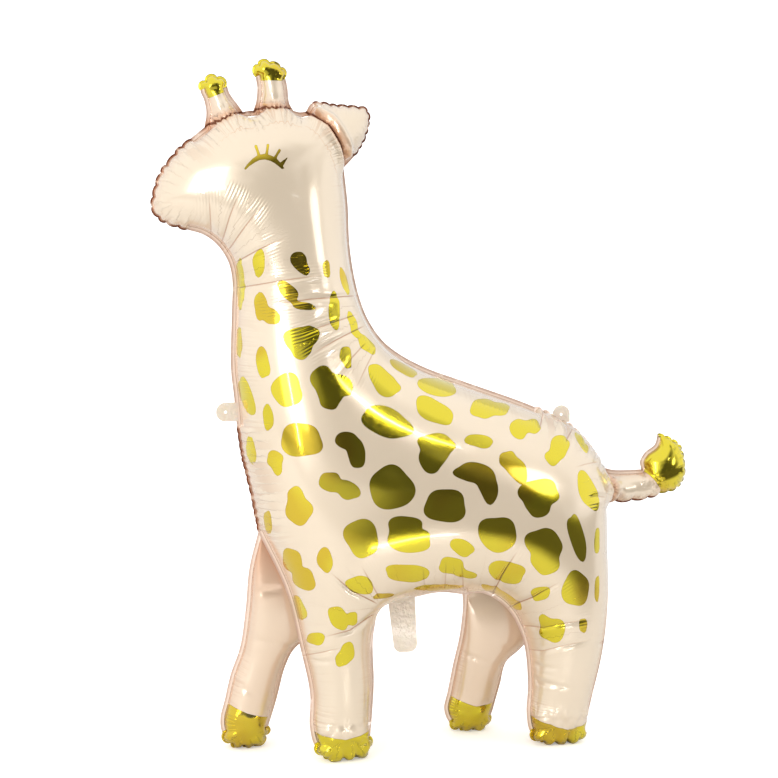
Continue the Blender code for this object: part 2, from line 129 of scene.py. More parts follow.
# The stretch that both sides share: its runs, their puckers and their seeds
UPPER_RUNS = [(RUMP,), (TAIL_UNDER, TAIL_PUCKERS, 1), (TUFT_OUTER, TUFT_PUCKERS, 2), (TUFT_INNER,),
              (TAIL_TOP,), (BACK, RUMP_PUCKERS, 3), (EAR, EAR_PUCKERS, 4), (CROWN_REAR,),
              (REAR_HORN, HORN_PUCKERS, 5), (CROWN_MIDDLE,), (FRONT_HORN, HORN_PUCKERS, 6),
              (FACE, FACE_PUCKERS, 7), (CHEST, CHEST_PUCKERS, 12)]
# Each leg: its fold, its run, the puckers of its sole, and their seed
LEGS = {
    "near_front": (FRONT_FOLD, NEAR_FRONT_LEG, NEAR_FRONT_SOLE, 8),
    "far_front": (FRONT_FOLD, FAR_FRONT_LEG, FAR_FRONT_SOLE, 9),
    "near_hind": (HIND_FOLD, NEAR_HIND_LEG, NEAR_HIND_SOLE, 10),
    "far_hind": (HIND_FOLD, FAR_HIND_LEG, FAR_HIND_SOLE, 11),
}
# How brown the film's edge is painted, as shade, where it has no puckers
PLAIN_BROWN = 0.3

# Single pinches in an otherwise smooth edge, as (x, z, pitch)
PINCHES = [(-270, 240, 26), (-275, 172, 30), (-295, 104, 26), (-203, 150, 20), (132, 100, 22),
           (50, 130, 24), (139, 120, 20), (262, 150, 22)]

# The weld: two films pressed flat, wider where it is smooth than along puckers
SEAM_WIDTH = 6.0
PUCKER_SEAM_WIDTH = 2.6
SEAM_HALF_THICKNESS = 0.45
# The feet stand this far off the middle plane, reached this far below the fold
LEG_SPREAD = 46.0
GUSSET_DEPTH = 200.0
# The inner leg sheets of the two sides stay this far apart, under an arched fold
GUSSET_GAP = 1.0
FOLD_RISE = 12.0
# A sheet can't bulge further than this, however wide it is
FLATTEST_DEPTH = 240.0

# Over the soles the film buckles into cells, up to this height on the leg. The cells
# cover this span of the drawing, in x from the nose's side and in z from the floor
SOLE_TOP = 75
SOLE_START = -350
SOLE_SPAN = (700, 110)
SOLE_CELL = 17.0
SOLE_BUCKLE = 4.2

# Where the print changes from pearl to gold: each line is (x, z) to (x, z)
FRONT_HORN_LINE = ((-331, 947), (-296, 961))
REAR_HORN_LINE = ((-257, 975), (-213, 975))
TUFT_LINE = ((366, 363), (336, 402))
HOOF_LINES = {
    "near_front": ((-193, 45), (-148, 38), (-100, 45)),
    "far_front": ((-302, 72), (-272, 58), (-234, 46)),
    "near_hind": ((138, 46), (190, 28), (240, 36)),
    "far_hind": ((40, 60), (78, 45), (122, 48)),
}

# The camera stands where the photograph was taken
CAMERA_AIM = Vector((-0.0628, 0.0, 0.533))
CAMERA_AZIMUTH = -15.0
CAMERA_ELEVATION = 5.4
CAMERA_DISTANCE = 2.68745
CAMERA_LENS = 85.0
CAMERA_SENSOR = 36.0
# The unlit part of the room, which the foil mirrors as a dark patch: where its middle
# is, and how many degrees from there it is darkest and it ends
DARK_AZIMUTH = 15.0
DARK_ELEVATION = 3.0
DARK_CORE = 16.0
DARK_REACH = 50.0
# The floor in front is painted dark to the foil too, as painted shade. Each row is a direction,
# two distances along it in metres, and how dark the floor is up to the first of them and from
# the second
DARK_FLOOR = [(DARK_AZIMUTH, 0.56, 0.86, 0.18, 0.94), (DARK_AZIMUTH + 90, -0.8, -0.1, 0.6, 1.0)]
# Behind the balloon the foil's edges mirror a round of the floor painted warm, as a painted
# reflection
WARM_CENTRE = (0.215, 0.802, 0.0)
WARM_EDGE = 0.92
WARM_CORE = 0.6
PICTURE = 778                 # pixels along a side of the camera's picture
PIXEL_SIZE = 1.463            # drawn millimetres in one of its pixels

# Gold spots of the near side, in picture pixels. A spot is one or more lobes of
# (x, y, half length, half width, tilt in degrees clockwise)
SPOTS = [
    [(240, 284, 26, 4.4, 88)],
    [(259, 263, 14, 6, 92)],
    [(298.3, 260, 8.6, 8, 90), (304.6, 269.5, 6, 5.2, 60)],
    [(326.6, 269, 9, 3.7, 86)],
    [(344.3, 281, 14, 3.2, 74)],
    [(288, 291.4, 13.5, 7, 48), (303.8, 306, 11.6, 4, 8)],
    [(260.7, 306, 14, 6.5, 88), (271.5, 316.3, 9.5, 7.5, 40)],
    [(334.5, 311, 19.4, 5.6, 88)],
    [(300, 339.5, 16.5, 12.5, 0), (301.3, 350.3, 9.5, 9, 90), (311.3, 333, 8, 7, 0)],
    [(239.2, 342.6, 15.8, 3.4, 90)],
    [(353.5, 324.6, 14, 4, 72), (366.8, 344.5, 12, 5.5, 48)],
    [(345.6, 354.4, 8, 6.2, 90), (347.7, 363.5, 5.5, 3.5, 80)],
    [(262.8, 362.7, 16, 6.6, 82)],
    [(287, 390, 17, 15, 80)],
    [(322.9, 381, 15.5, 11.5, 75), (329.5, 397.5, 12, 11, 80), (339.5, 384.3, 15, 9.5, 25),
     (334, 392, 10, 9, 30)],
    [(377.6, 374.3, 12, 7.5, 55), (387.5, 387.6, 12.5, 9, 5), (384, 381, 13, 9, 42)],
    [(403.3, 368.5, 15.5, 4.8, 30)],
    [(437.3, 386.8, 19.5, 9.2, 10)],
    [(246.6, 396.3, 20, 6.5, 72)],
    [(268.1, 417.4, 13.3, 5.2, 86)],
    [(301.3, 440.2, 21, 17, 8)],
    [(434, 410.8, 21, 11, 30)],
    [(386.7, 422.4, 26, 14.5, 20)],
    [(347.7, 440.7, 13, 8.5, 10), (356.9, 455.6, 12.5, 9, 85)],
    [(436.5, 443.2, 19, 9.5, 5), (431.5, 458, 15, 12.5, 95), (440, 453, 12, 9, -40)],
    [(251.1, 450.2, 14.5, 4.6, 82)],
    [(274.8, 458.9, 8.5, 8, 90), (277.3, 468, 8, 4.5, 80)],
    [(330, 482, 11, 10, 20), (348, 490, 12.5, 9, 25)],
    [(391.6, 488, 22.5, 21.5, 30)],
    [(481.9, 408.5, 11.5, 10, 0), (494.3, 408.5, 15.5, 7, 5)],
    [(479.1, 441, 14.4, 6.6, 8)],
    [(519.2, 428.8, 10, 9.5, 90), (532.5, 426.3, 8.5, 7, 15)],
    [(559.8, 446.2, 11.5, 9.5, 95), (552.4, 457.8, 8, 7, 60)],
    [(581.7, 442.9, 12, 3, 58)],
    [(507.6, 459.5, 8.5, 8.5, 0), (516.7, 469.5, 15, 9, 58)],
    [(539, 492.7, 20.5, 13.5, 0), (538.3, 505, 12.5, 12.5, 45)],
    [(588, 491, 21, 8.5, 68)],
    [(474.4, 472.8, 20, 10, 5), (487.7, 486, 18, 9.5, 74)],
    [(445.4, 506, 21, 17, 0)],
    [(404.8, 527.5, 17, 12, 0), (409.8, 540.8, 22, 12, 0)],
    [(497.6, 534.1, 19.5, 17.5, 20)],
    [(462, 547.4, 12.5, 8, 25)],
    [(544.1, 544, 19, 15, 20), (545.7, 560, 15, 14, 80)],
    [(577.2, 537.4, 24, 7.5, 76)],
    [(597, 541, 13.5, 2.7, 92)],
    [(406.4, 573, 21, 9, 3), (424, 574, 5, 4.5, 0)],
    [(451.2, 565.6, 12.5, 8.5, 0), (466.1, 574.3, 11, 4, 8)],
    [(506.8, 572, 18.5, 11, 12)],
    [(502.6, 597.2, 23, 5.5, 32)],
    [(540.4, 593.5, 10, 7, -15)],
    [(575.6, 588.9, 17.5, 13.5, 95)],
    [(597, 589, 13.5, 2.4, 92)],
    [(438, 587.5, 24.5, 3, -2)],
    [(360, 585.4, 14, 9.2, 10)],
    [(383, 596, 11, 2.5, -8)],
    [(296, 497, 11, 8, 80), (299, 511, 13.5, 13.5, 60)],
    [(361.7, 538, 19.6, 16.5, 70)],
    [(268, 522, 12, 3.9, 84)],
    [(292, 560, 12, 9.5, 70), (304, 579, 13, 10, 45)],
    [(325, 560, 12.6, 7.6, 80)],
    [(276, 566, 7, 3, 80)],
    [(298.9, 607.9, 13.5, 6, 68)],
    [(338.1, 618, 13, 8.5, 62), (352.5, 618.8, 7.2, 5.3, 90)],
    [(315.9, 638.7, 9.2, 6.4, 0)],
    [(347.8, 651.5, 9.5, 7, 95), (342, 659.4, 7.5, 6.8, 120)],
    [(552.6, 630, 13, 12, 0), (543.4, 619, 5, 4.5, 50)],
    [(583.2, 625.4, 7.3, 4.2, 90)],
]
# The far side repeats them above this height, apart from one that would wrap round its
# hind leg, far down and back in x + y, and has its own on the legs
FAR_SPOT_LIMIT = 600
FAR_RUMP_LIMIT = 1150
FAR_SPOTS = [spot for spot in SPOTS
             if spot[0][1] < FAR_SPOT_LIMIT and sum(spot[0][:2]) < FAR_RUMP_LIMIT] + [
    [(284, 604, 12, 7, 75)],
    [(292, 634, 9, 7, 20)],
    [(283, 664, 8, 5, 80)],
    [(476, 618, 11, 8, 30)],
    [(500, 640, 9, 7, 70)],
]
SPOT_BLEND = 5.0              # pixels over which the lobes of a spot flow together
NOT_GOLD = -20.0              # what stands for far outside the gold print

# The closed eye: a brow line from corner to corner, and its lashes from root to
# tip, as (x, y, half width) in picture pixels
EYE_LINE = [(245.3, 168.7, 1.0), (248.5, 165.0, 1.5), (254, 160.4, 2.2), (259, 157.4, 2.7),
            (265, 156.6, 2.9), (271, 158.2, 2.7), (276, 161.2, 2.4), (283, 168.2, 1.3)]
LASHES = [
    [(259.6, 157.5, 1.7), (257.6, 151, 1.3), (255.9, 146.3, 1.5)],
    [(266.4, 156, 1.7), (267.3, 150, 1.2), (267.9, 145.2, 1.4)],
    [(274.6, 159, 1.7), (276.8, 154.6, 1.3), (279.6, 150.3, 1.5)],
    [(281.2, 165, 2.2), (284.0, 161.4, 1.5), (287.3, 157.2, 0.7)],
]

# Long creases of the near side in picture pixels: points from the weld inwards,
# depth of the groove in millimetres at the typical depth below, and strength of the
# ripples beside it
TYPICAL_CREASE = 0.002
CREASES = [
    ([(211, 233), (210, 215), (209, 196)], 1.6, 0.8),
    ([(222, 241), (229, 218), (239, 193)], 2.0, 0.9),
    ([(229, 249), (244, 228), (262, 205)], 2.0, 1.0),
    ([(238, 261), (258, 250), (284, 238)], 2.2, 0.7),
    ([(243, 287), (280, 281), (322, 275)], 2.0, 0.8),
    ([(350, 296), (312, 299), (268, 305)], 2.2, 0.9),
    ([(352, 316), (335, 322), (300, 334)], 1.8, 1.0),
    ([(360, 328), (338, 339), (312, 354)], 2.2, 0.8),
    ([(363, 346), (352, 358), (340, 374)], 1.8, 0.3),
    ([(374, 352), (367, 366), (357, 386)], 1.4, 0.4),
    ([(493, 594), (503, 575), (517, 552)], 2.4, 0.7),
    ([(512, 606), (533, 598), (558, 583)], 2.4, 0.5),
    ([(445, 587), (446, 574), (446, 561)], 1.0, 0.1),
    ([(463, 588), (463, 575), (461, 562)], 1.2, 0.1),
    ([(425, 588), (424, 578), (423, 567)], 0.8, 0.1),
    ([(373, 602), (351, 591), (331, 573)], 2.4, 0.3),
    ([(379, 597), (371, 583), (362, 567)], 1.8, 0.2),
    ([(371, 617), (350, 631), (324, 637)], 2.2, 0.3),
    ([(299, 656), (320, 653), (342, 648)], 1.4, 0.2),
    ([(519, 625), (543, 628), (589, 619)], 1.6, 0.2),
    ([(524, 649), (542, 651), (590, 640)], 1.2, 0.2),
    ([(543, 413), (542, 420), (540, 429)], 2.2, 0.3),
    ([(572, 430), (569, 436), (566, 442)], 2.0, 0.3),
    ([(596, 462), (586, 464), (576, 467)], 1.2, 0.3),
    ([(604, 497), (596, 496), (588, 498)], 1.2, 0.3),
]
FAR_CREASE_LIMIT = 600        # the far side has only those that begin above this
CREASE_HALF_WIDTH = 3.4
FAR_AWAY = 60.0               # stands for no crease near, in millimetres

# Deep folds where a small limb leaves the body, on both sides: points as (x, z) with
# the limb on their left, depth, and how high the limb's own edge rolls up beside the fold
LIMB_FOLDS = [
    ([(-331, 909), (-314, 921), (-295, 930), (-276, 931)], 6.0, -3.0),
    ([(-261, 933), (-247, 939), (-222, 940), (-203, 934)], 6.0, -3.0),
    ([(-185, 933), (-160, 915), (-142, 886), (-130, 854)], 8.0, 5.0),
    ([(271, 406), (281, 378), (275, 355)], 6.0, 1.0),
    ([(336, 400), (357, 385), (366, 363)], 2.5, 0.0),
]
# Distance between the crests of the ripples beside a crease
RIPPLE_PITCH = 4.8
# How far the fine gathers run in from a weld
GATHER_REACH = 42.0
# Where the film gathers most although its weld is smooth: (x, z, radius)
GATHERED = [(-268, 925, 62), (-190, 930, 40), (-345, 895, 36), (-14, 222, 60), (-128, 850, 40)]

# Mesh spacing in drawn millimetres: near the weld and further in, on each kind of sheet
NEAR_STEPS = (2.2, 3.2)
FAR_STEPS = (2.9, 4.4)
GUSSET_STEPS = (3.2, 4.6)
# Spacing along the outline, its puckers and a gusset's fold, and round the eye
OUTLINE_STEP = 2.6
PUCKER_STEP = 1.8
FOLD_STEP = 4.0
EYE_STEP = 1.3
# The finely meshed patch round the eye: its middle and half its size, as (x, z)
EYE_PATCH = (np.array([-289.0, 868.0]), np.array([42.0, 30.0]))
# Rings along the weld, by their depth inside it, and how far in the fine mesh goes
RING_DEPTHS = (0.0, 0.45, 1.4, 2.9, 4.9)
RIM_ZONE = 24.0

# Tabs and filling neck, in metres apart from their drawn places on the weld. A tab has
# its name, place, the way that it points in degrees, and its length. Their roots reach
# into the rim
EYELET_TABS = [("chest_eyelet_tab", (-290, 506), 180, 0.028),
               ("back_eyelet_tab", (207, 478), 90, 0.021)]
FILM_THICKNESS = 0.0008
TAB_ROOT = 0.004
NECK_PLACE = (-42, 219)
NECK_HALF_WIDTH = 0.0205
NECK_ROOT = 0.003
NECK_CORNER = 0.012

# Area lights: name, place, width, height, the setting of their power, shape, aim, spread
BALLOON_MIDDLE = (0.0, 0.0, 0.6)
SOFT_BOXES = [
    ("key_light", (-2.15, -2.35, 1.3), 1.35, 1.95, "key_power", 'RECTANGLE', BALLOON_MIDDLE, 180),
    ("key_tube", (-2.1, -2.25, 1.1), 0.07, 2.1, "tube_power", 'RECTANGLE', BALLOON_MIDDLE, 180),
    ("right_lamp", (1.95, -2.0, 0.98), 0.75, 0.75, "right_power", 'DISK', BALLOON_MIDDLE, 180),
    ("top_tube", (0.387, -1.205, 0.968), 0.68, 0.022, "top_power", 'RECTANGLE',
     (-0.08, -0.115, 0.50), 31),
    ("back_light", (0.2, 2.9, 1.5), 0.5, 1.9, "back_power", 'RECTANGLE', BALLOON_MIDDLE, 180),
    ("low_tube", (0.07, -0.64, 0.02), 0.32, 0.012, "low_power", 'RECTANGLE', BALLOON_MIDDLE, 180),
]
# The paper sweep, square to the camera: half its width, its front and rear edges on the
# floor, the radius of its bend, and its height
SWEEP_HALF = 5.0
SWEEP_FRONT = -3.2
SWEEP_REAR = 2.6
SWEEP_RADIUS = 1.6
SWEEP_TOP = 5.0


def linear(hex_colour):
    """An sRGB hex colour as linear RGB."""
    values = [int(hex_colour[i:i + 2], 16) / 255 for i in (1, 3, 5)]
    return tuple(v / 12.92 if v <= 0.04045 else ((v + 0.055) / 1.055) ** 2.4 for v in values)


def smooth(low, high, values):
    """0 below low, 1 above high, and an S-shaped step between."""
    t = np.clip((values - low) / (high - low), 0.0, 1.0)
    return t * t * (3 - 2 * t)


def spans(path):
    """The length of each stretch of a path."""
    return np.linalg.norm(np.diff(path, axis=0), axis=1)


def turned(x, z, angle):
    """A flat place, or many, turned anticlockwise about the origin by an angle in radians."""
    return (x * math.cos(angle) - z * math.sin(angle),
            x * math.sin(angle) + z * math.cos(angle))


def direction(azimuth, elevation=0.0):
    """The way to an azimuth, anticlockwise from the front, and an elevation, in degrees."""
    turn = math.radians(azimuth)
    rise = math.radians(elevation)
    return (math.sin(turn) * math.cos(rise), -math.cos(turn) * math.cos(rise), math.sin(rise))


def search_tree(points):
    """A tree that finds the nearest of some flat points."""
    tree = KDTree(len(points))
    for i, point in enumerate(points):
        tree.insert((point[0], point[1], 0.0), i)
    tree.balance()
    return tree


def bends(rows, reach):
    """How sharply a closed outline turns at each row, and the way ahead from there."""
    before = rows - np.roll(rows, reach, axis=0)
    after = np.roll(rows, -reach, axis=0) - rows
    turn = before[:, 0] * after[:, 1] - before[:, 1] * after[:, 0]
    turn /= np.maximum(np.linalg.norm(before, axis=1) * np.linalg.norm(after, axis=1), 1e-9)
    return turn, after


def stand(name, data):
    """A new object in the scene."""
    made = bpy.data.objects.new(name, data)
    bpy.context.scene.collection.objects.link(made)
    return made


def smooth_piece(bm, name, material):
    """A smooth-shaded object from a bmesh, which is freed."""
    mesh = bpy.data.meshes.new(name)
    bm.to_mesh(mesh)
    bm.free()
    mesh.shade_smooth()
    mesh.materials.append(material)
    return stand(name, mesh)
# The flat outline


def spline(points):
    """A centripetal Catmull-Rom curve through the points, with its knots' places."""
    pts = np.array(points, dtype=float)
    ends = np.vstack([2 * pts[0] - pts[1], pts, 2 * pts[-1] - pts[-2]])
    curve = []
    knots = [0]
    for i in range(len(pts) - 1):
        p0, p1, p2, p3 = ends[i:i + 4]
        t1 = math.sqrt(np.linalg.norm(p1 - p0))
        t2 = t1 + math.sqrt(np.linalg.norm(p2 - p1))
        t3 = t2 + math.sqrt(np.linalg.norm(p3 - p2))
        count = max(4, int(np.linalg.norm(p2 - p1)))
        for t in np.linspace(t1, t2, count, endpoint=False):
            a1 = (t1 - t) / t1 * p0 + t / t1 * p1
            a2 = (t2 - t) / (t2 - t1) * p1 + (t - t1) / (t2 - t1) * p2
            a3 = (t3 - t) / (t3 - t2) * p2 + (t - t2) / (t3 - t2) * p3
            b1 = (t2 - t) / t2 * a1 + t / t2 * a2
            b2 = (t3 - t) / (t3 - t1) * a2 + (t - t1) / (t3 - t1) * a3
            curve.append((t2 - t) / (t2 - t1) * b1 + (t - t1) / (t2 - t1) * b2)
        knots.append(len(curve))
    curve.append(pts[-1])
    return np.array(curve), knots


class Rim:
    """A stretch of weld: its rows, and the notches between its puckers.

    A row is (x, z, seam width, spread, brownness of its painted edge shade). A
    notch is (x, z, inward x, inward z, pitch, reach in pitches), and its pleat runs
    inwards from there. A bulb between two notches is (x, z, radius, height).
    """

    def __init__(self, rows=(), notches=(), bulbs=()):
        self.rows = list(rows)
        self.notches = list(notches)
        self.bulbs = list(bulbs)

    def __add__(self, other):
        return Rim(self.rows + other.rows, self.notches + other.notches, self.bulbs + other.bulbs)


def run(points, puckers=None, seed=0):
    """One smooth run of the outline, without its last point."""
    curve, knots = spline(points)
    travel = np.concatenate([[0.0], np.cumsum(spans(curve))])
    chance = random.Random(seed)

    def place(s):
        return np.array([np.interp(s, travel, curve[:, 0]), np.interp(s, travel, curve[:, 1])])

    def outward(s):
        along = place(s + 1.0) - place(s - 1.0)
        along /= np.linalg.norm(along)
        return np.array([along[1], -along[0]])

    rim = Rim()
    start = stop = travel[-1]
    if puckers:
        first, last, pitch, depth, reach, height, brown = puckers
        start = travel[knots[first]]
        stop = travel[knots[last]]
    for low, high, puckered in ((0.0, start, False), (start, stop, True),
                                (stop, travel[-1], False)):
        if high - low < 1e-6:
            continue
        if not puckered:
            parts = max(1, round((high - low) / OUTLINE_STEP))
            for k in range(parts):
                spot = place(low + (high - low) * k / parts)
                rim.rows.append((*spot, SEAM_WIDTH, 0.0, PLAIN_BROWN))
            continue
        bulbs = max(1, round((high - low) / pitch))
        shares = [1 + chance.uniform(-0.28, 0.28) for _ in range(bulbs)]
        bounds = low + (high - low) * np.concatenate([[0.0], np.cumsum(shares)]) / sum(shares)
        for bound, following in zip(bounds[:-1], bounds[1:]):
            width = following - bound
            parts = max(6, round(width / PUCKER_STEP))
            bulge = depth * chance.uniform(0.75, 1.15)
            for j in range(parts):
                s = bound + width * j / parts
                spot = place(s) + outward(s) * bulge * math.sin(math.pi * j / parts) ** 0.65
                rim.rows.append((*spot, PUCKER_SEAM_WIDTH, 0.0, brown))
            rim.notches.append((*place(bound), *-outward(bound), width, reach))
            spot = place(bound + width / 2) - outward(bound + width / 2) * width * 0.42
            rim.bulbs.append((*spot, width * 0.62, height * chance.uniform(0.8, 1.2)))
    return rim


def spread_below(fold, rim):
    """The same stretch with each point's distance from the middle plane as its spread."""
    start = np.array(fold[0], dtype=float)
    along = np.array(fold[1], dtype=float) - start
    along = along / np.linalg.norm(along)
    down = np.array([along[1], -along[0]])
    down = down if down[1] < 0 else -down
    out = Rim([], rim.notches, rim.bulbs)
    for x, z, width, _, brown in rim.rows:
        drop = float(np.dot(np.array([x, z]) - start, down))
        share = min(1.0, max(0.0, drop / GUSSET_DEPTH))
        out.rows.append((x, z, width, LEG_SPREAD * math.sin(share * math.pi / 2), brown))
    return out


def fold_line(start, end):
    """Rows along the arched fold of a gusset, from start towards end, without the last point."""
    parts = round(math.dist(start, end) / FOLD_STEP)
    rows = []
    for k in range(parts):
        share = k / parts
        rise = FOLD_RISE * math.sin(math.pi * share)
        rows.append((start[0] + share * (end[0] - start[0]),
                     start[1] + share * (end[1] - start[1]) + rise, 0.0, 0.0, 0.0))
    return rows


def rims():
    """The outlines: what both sides share, the belly, and the four legs."""
    edges = {"upper": sum((run(*row) for row in UPPER_RUNS), Rim()), "belly": run(BELLY)}
    for name, (fold, *leg) in LEGS.items():
        edges[name] = spread_below(fold, run(*leg))
    return edges


# Meshing one flat sheet


def inside(polygon, points):
    """Whether each point lies inside the polygon."""
    odd = np.zeros(len(points), dtype=bool)
    x, z = points[:, 0], points[:, 1]
    for (ax, az), (bx, bz) in zip(polygon, np.roll(polygon, -1, axis=0)):
        if az == bz:
            continue
        band = np.nonzero((az > z) != (bz > z))[0]
        odd[band] ^= x[band] < (bx - ax) * (z[band] - az) / (bz - az) + ax
    return odd


class Border:
    """The closed edge of a sheet, sampled finely, to ask how far a point is from it."""

    def __init__(self, loop, from_row=0, to_row=None):
        ahead = np.roll(loop, -1, axis=0)
        last = len(loop) if to_row is None else to_row
        places = []
        travels = []
        travel = 0.0
        for i in range(len(loop)):
            length = math.dist(loop[i], ahead[i])
            if from_row <= i < last:
                parts = max(1, math.ceil(length))
                for k in range(parts):
                    places.append(loop[i] + (ahead[i] - loop[i]) * k / parts)
                    travels.append(travel + length * k / parts)
            travel += length
        self.travels = np.array(travels)
        self.tree = search_tree(places)

    def nearest(self, points):
        """Each point's distance to the edge, and how far along the edge that is."""
        gaps = np.empty(len(points))
        along = np.empty(len(points))
        for i, point in enumerate(points):
            _, index, gap = self.tree.find((point[0], point[1], 0.0))
            gaps[i] = gap
            along[i] = self.travels[index]
        return gaps, along


def lattice(low, high, step, seed):
    """A hexagonal lattice over a rectangle, shaken a little."""
    across = np.arange(int((high[0] - low[0]) / step) + 2) * step
    up = np.arange(int((high[1] - low[1]) / (step * 0.866)) + 2) * step * 0.866
    x, z = np.meshgrid(across, up)
    x[1::2] += step / 2
    points = np.stack([x.ravel() + low[0], z.ravel() + low[1]], axis=1)
    return points + np.random.default_rng(seed).uniform(-0.12, 0.12, points.shape) * step


def sheet(rim, fold, steps, eye=None, seed=0):
    """Mesh one flat sheet: rings along its weld, fine points near it, and wider ones inside.

    Gives the points, the triangles, the border's count, the points on the weld
    line, each point's distance to the weld's edge, and its place along it.
    """
    fine, coarse = steps
    rows = np.array(list(rim) + list(fold))
    loop = rows[:, :2]
    whole = Border(loop)
    folded = Border(loop, len(rim)) if len(fold) else None
    along = np.roll(loop, -1, axis=0) - np.roll(loop, 1, axis=0)
    along /= np.linalg.norm(along, axis=1)[:, None]
    inward = np.stack([-along[:, 1], along[:, 0]], axis=1)[:len(rim)]
    kept = [loop]
    weld = [np.zeros(len(loop), dtype=bool)]
    # A ring's points stay clear of the fold, of the rest of the weld and of one another
    for ring, depth in enumerate(RING_DEPTHS):
        reach = rows[:len(rim), 2] + depth
        candidates = loop[:len(rim)] + inward * reach[:, None]
        good = inside(loop, candidates) & (whole.nearest(candidates)[0] > 0.88 * reach)
        if folded:
            good &= folded.nearest(candidates)[0] > 4.0
        chosen = []
        last = None
        for point, fit in zip(candidates, good):
            if fit and (last is None or math.dist(point, last) > 0.5 * fine):
                chosen.append(point)
                last = point
        kept.append(np.array(chosen).reshape(-1, 2))
        weld.append(np.full(len(chosen), ring == 0))
    low = loop.min(axis=0)
    high = loop.max(axis=0)
    clear = SEAM_WIDTH + RING_DEPTHS[-1] + 0.7 * fine
    near_weld = lattice(low, high, fine, seed)
    near_weld = near_weld[inside(loop, near_weld)]
    gaps = whole.nearest(near_weld)[0]
    near_weld = near_weld[(gaps > clear - 2.5) & (gaps < RIM_ZONE)]
    crowd = search_tree(np.vstack(kept))
    near_weld = near_weld[[crowd.find((p[0], p[1], 0.0))[2] > 0.62 * fine for p in near_weld]]
    middle = lattice(low, high, coarse, seed + 1)
    middle = middle[inside(loop, middle)]
    middle = middle[whole.nearest(middle)[0] > RIM_ZONE + 0.3 * coarse]
    kept += [near_weld, middle]
    if eye is not None:
        centre, half = eye
        extra = lattice(centre - half, centre + half, EYE_STEP, seed + 2)
        kept[-1] = middle[(np.abs(middle - centre) > half + 0.6 * EYE_STEP).any(axis=1)]
        kept.append(extra)
    points = np.vstack(kept)
    held = np.zeros(len(points), dtype=bool)
    mask = np.concatenate(weld)
    held[:len(mask)] = mask
    coords = [Vector((float(x), float(z))) for x, z in points]
    count = len(loop)
    border = [(i, (i + 1) % count) for i in range(count)]
    solved = delaunay_2d_cdt(coords, border, [], 0, 1e-6, False)
    if len(solved[0]) != len(points):
        raise RuntimeError("the outline of a sheet crosses itself")
    triangles = np.array([list(face) for face in solved[2]])
    triangles = triangles[inside(loop, points[triangles].mean(axis=1))]
    weld_edge = Border(loop, 0, len(rim)) if len(fold) else whole
    gaps, travel = weld_edge.nearest(points)
    gaps[:len(rim)] = 0.0
    return points, triangles, count, held, gaps, travel


# Raising a sheet with gas


def stretched(points, triangles, held, values, load):
    """The height of a skin stretched over the sheet: held at values, pushed by load."""
    a, b, c = (points[triangles[:, k]] for k in range(3))
    area = 0.5 * ((b[:, 0] - a[:, 0]) * (c[:, 1] - a[:, 1])
                  - (c[:, 0] - a[:, 0]) * (b[:, 1] - a[:, 1]))
    area = np.maximum(area, 1e-6)
    total = len(points)
    keys = []
    weights = []
    for k in range(3):
        i, j, o = triangles[:, k], triangles[:, (k + 1) % 3], triangles[:, (k + 2) % 3]
        slant = ((points[i] - points[o]) * (points[j] - points[o])).sum(axis=1)
        weights.append(slant / (4 * area))
        keys.append(np.minimum(i, j) * total + np.maximum(i, j))
    keys, slots = np.unique(np.concatenate(keys), return_inverse=True)
    weight = np.bincount(slots, np.concatenate(weights))
    first = keys // total
    second = keys % total
    diagonal = np.bincount(first, weight, total) + np.bincount(second, weight, total)
    force = np.bincount(triangles.ravel(), np.repeat(load * area / 3, 3), total)

    def pull(height):
        return (diagonal * height - np.bincount(first, weight * height[second], total)
                - np.bincount(second, weight * height[first], total))

    free = (~held).astype(float)
    height = np.where(held, values, 0.0)
    rest = (force - pull(height)) * free
    eased = rest / diagonal
    heading = eased.copy()
    product = rest @ eased
    goal = max(product, 1e-30) * 1e-12
    for _ in range(3000):
        push = pull(heading) * free
        step = product / (heading @ push)
        height += step * heading
        rest -= step * push
        eased = rest / diagonal
        fresh = rest @ eased
        if fresh < goal:
            break
        heading = eased + fresh / product * heading
        product = fresh
    return height


def raised(flat, spreads, side, is_gusset):
    """How far each point of a sheet stands off the middle plane."""
    points, triangles, count, weld, _, _ = flat
    held = weld.copy()
    held[:count] = True
    # A skin's height follows a parabola, and the root of it a round section
    filled = stretched(points, triangles, held, np.zeros(len(points)), 1.0)
    lift = np.sqrt(2 * np.maximum(filled, 0.0) + SEAM_HALF_THICKNESS ** 2)
    lift /= np.sqrt(1 + (lift / FLATTEST_DEPTH) ** 2)
    lift[:count] = 0.0
    edge = np.zeros(len(points), dtype=bool)
    edge[:count] = True
    values = np.zeros(len(points))
    values[:count] = spreads
    off = stretched(points, triangles, edge, values, 0.0) if np.any(values) else values
    if not is_gusset:
        return side * (off + lift), np.ones(len(points))
    # A gusset bulges inwards until it presses on that of the other side
    room = np.maximum(off - np.minimum(0.5 * off, GUSSET_GAP), 1e-9)
    pressed = lift / (1 + (lift / room) ** 3) ** (1 / 3)
    pressed[:count] = 0.0
    return side * (off - pressed), smooth(0.02, 0.5, 1 - pressed / np.maximum(lift, 1e-6))


# Puckers, creases and print


def seen(places):
    """Where the camera sees each place, in pixels of its picture."""
    azimuth = math.radians(CAMERA_AZIMUTH)
    back = np.array(direction(CAMERA_AZIMUTH, CAMERA_ELEVATION))
    right = np.array([math.cos(azimuth), math.sin(azimuth), 0.0])
    up = np.cross(back, right)
    away = places - (np.array(CAMERA_AIM) + back * CAMERA_DISTANCE)
    depth = -(away @ back)
    focal = CAMERA_LENS / CAMERA_SENSOR * PICTURE
    return np.stack([PICTURE / 2 + focal * (away @ right) / depth,
                     PICTURE / 2 - focal * (away @ up) / depth], axis=1)


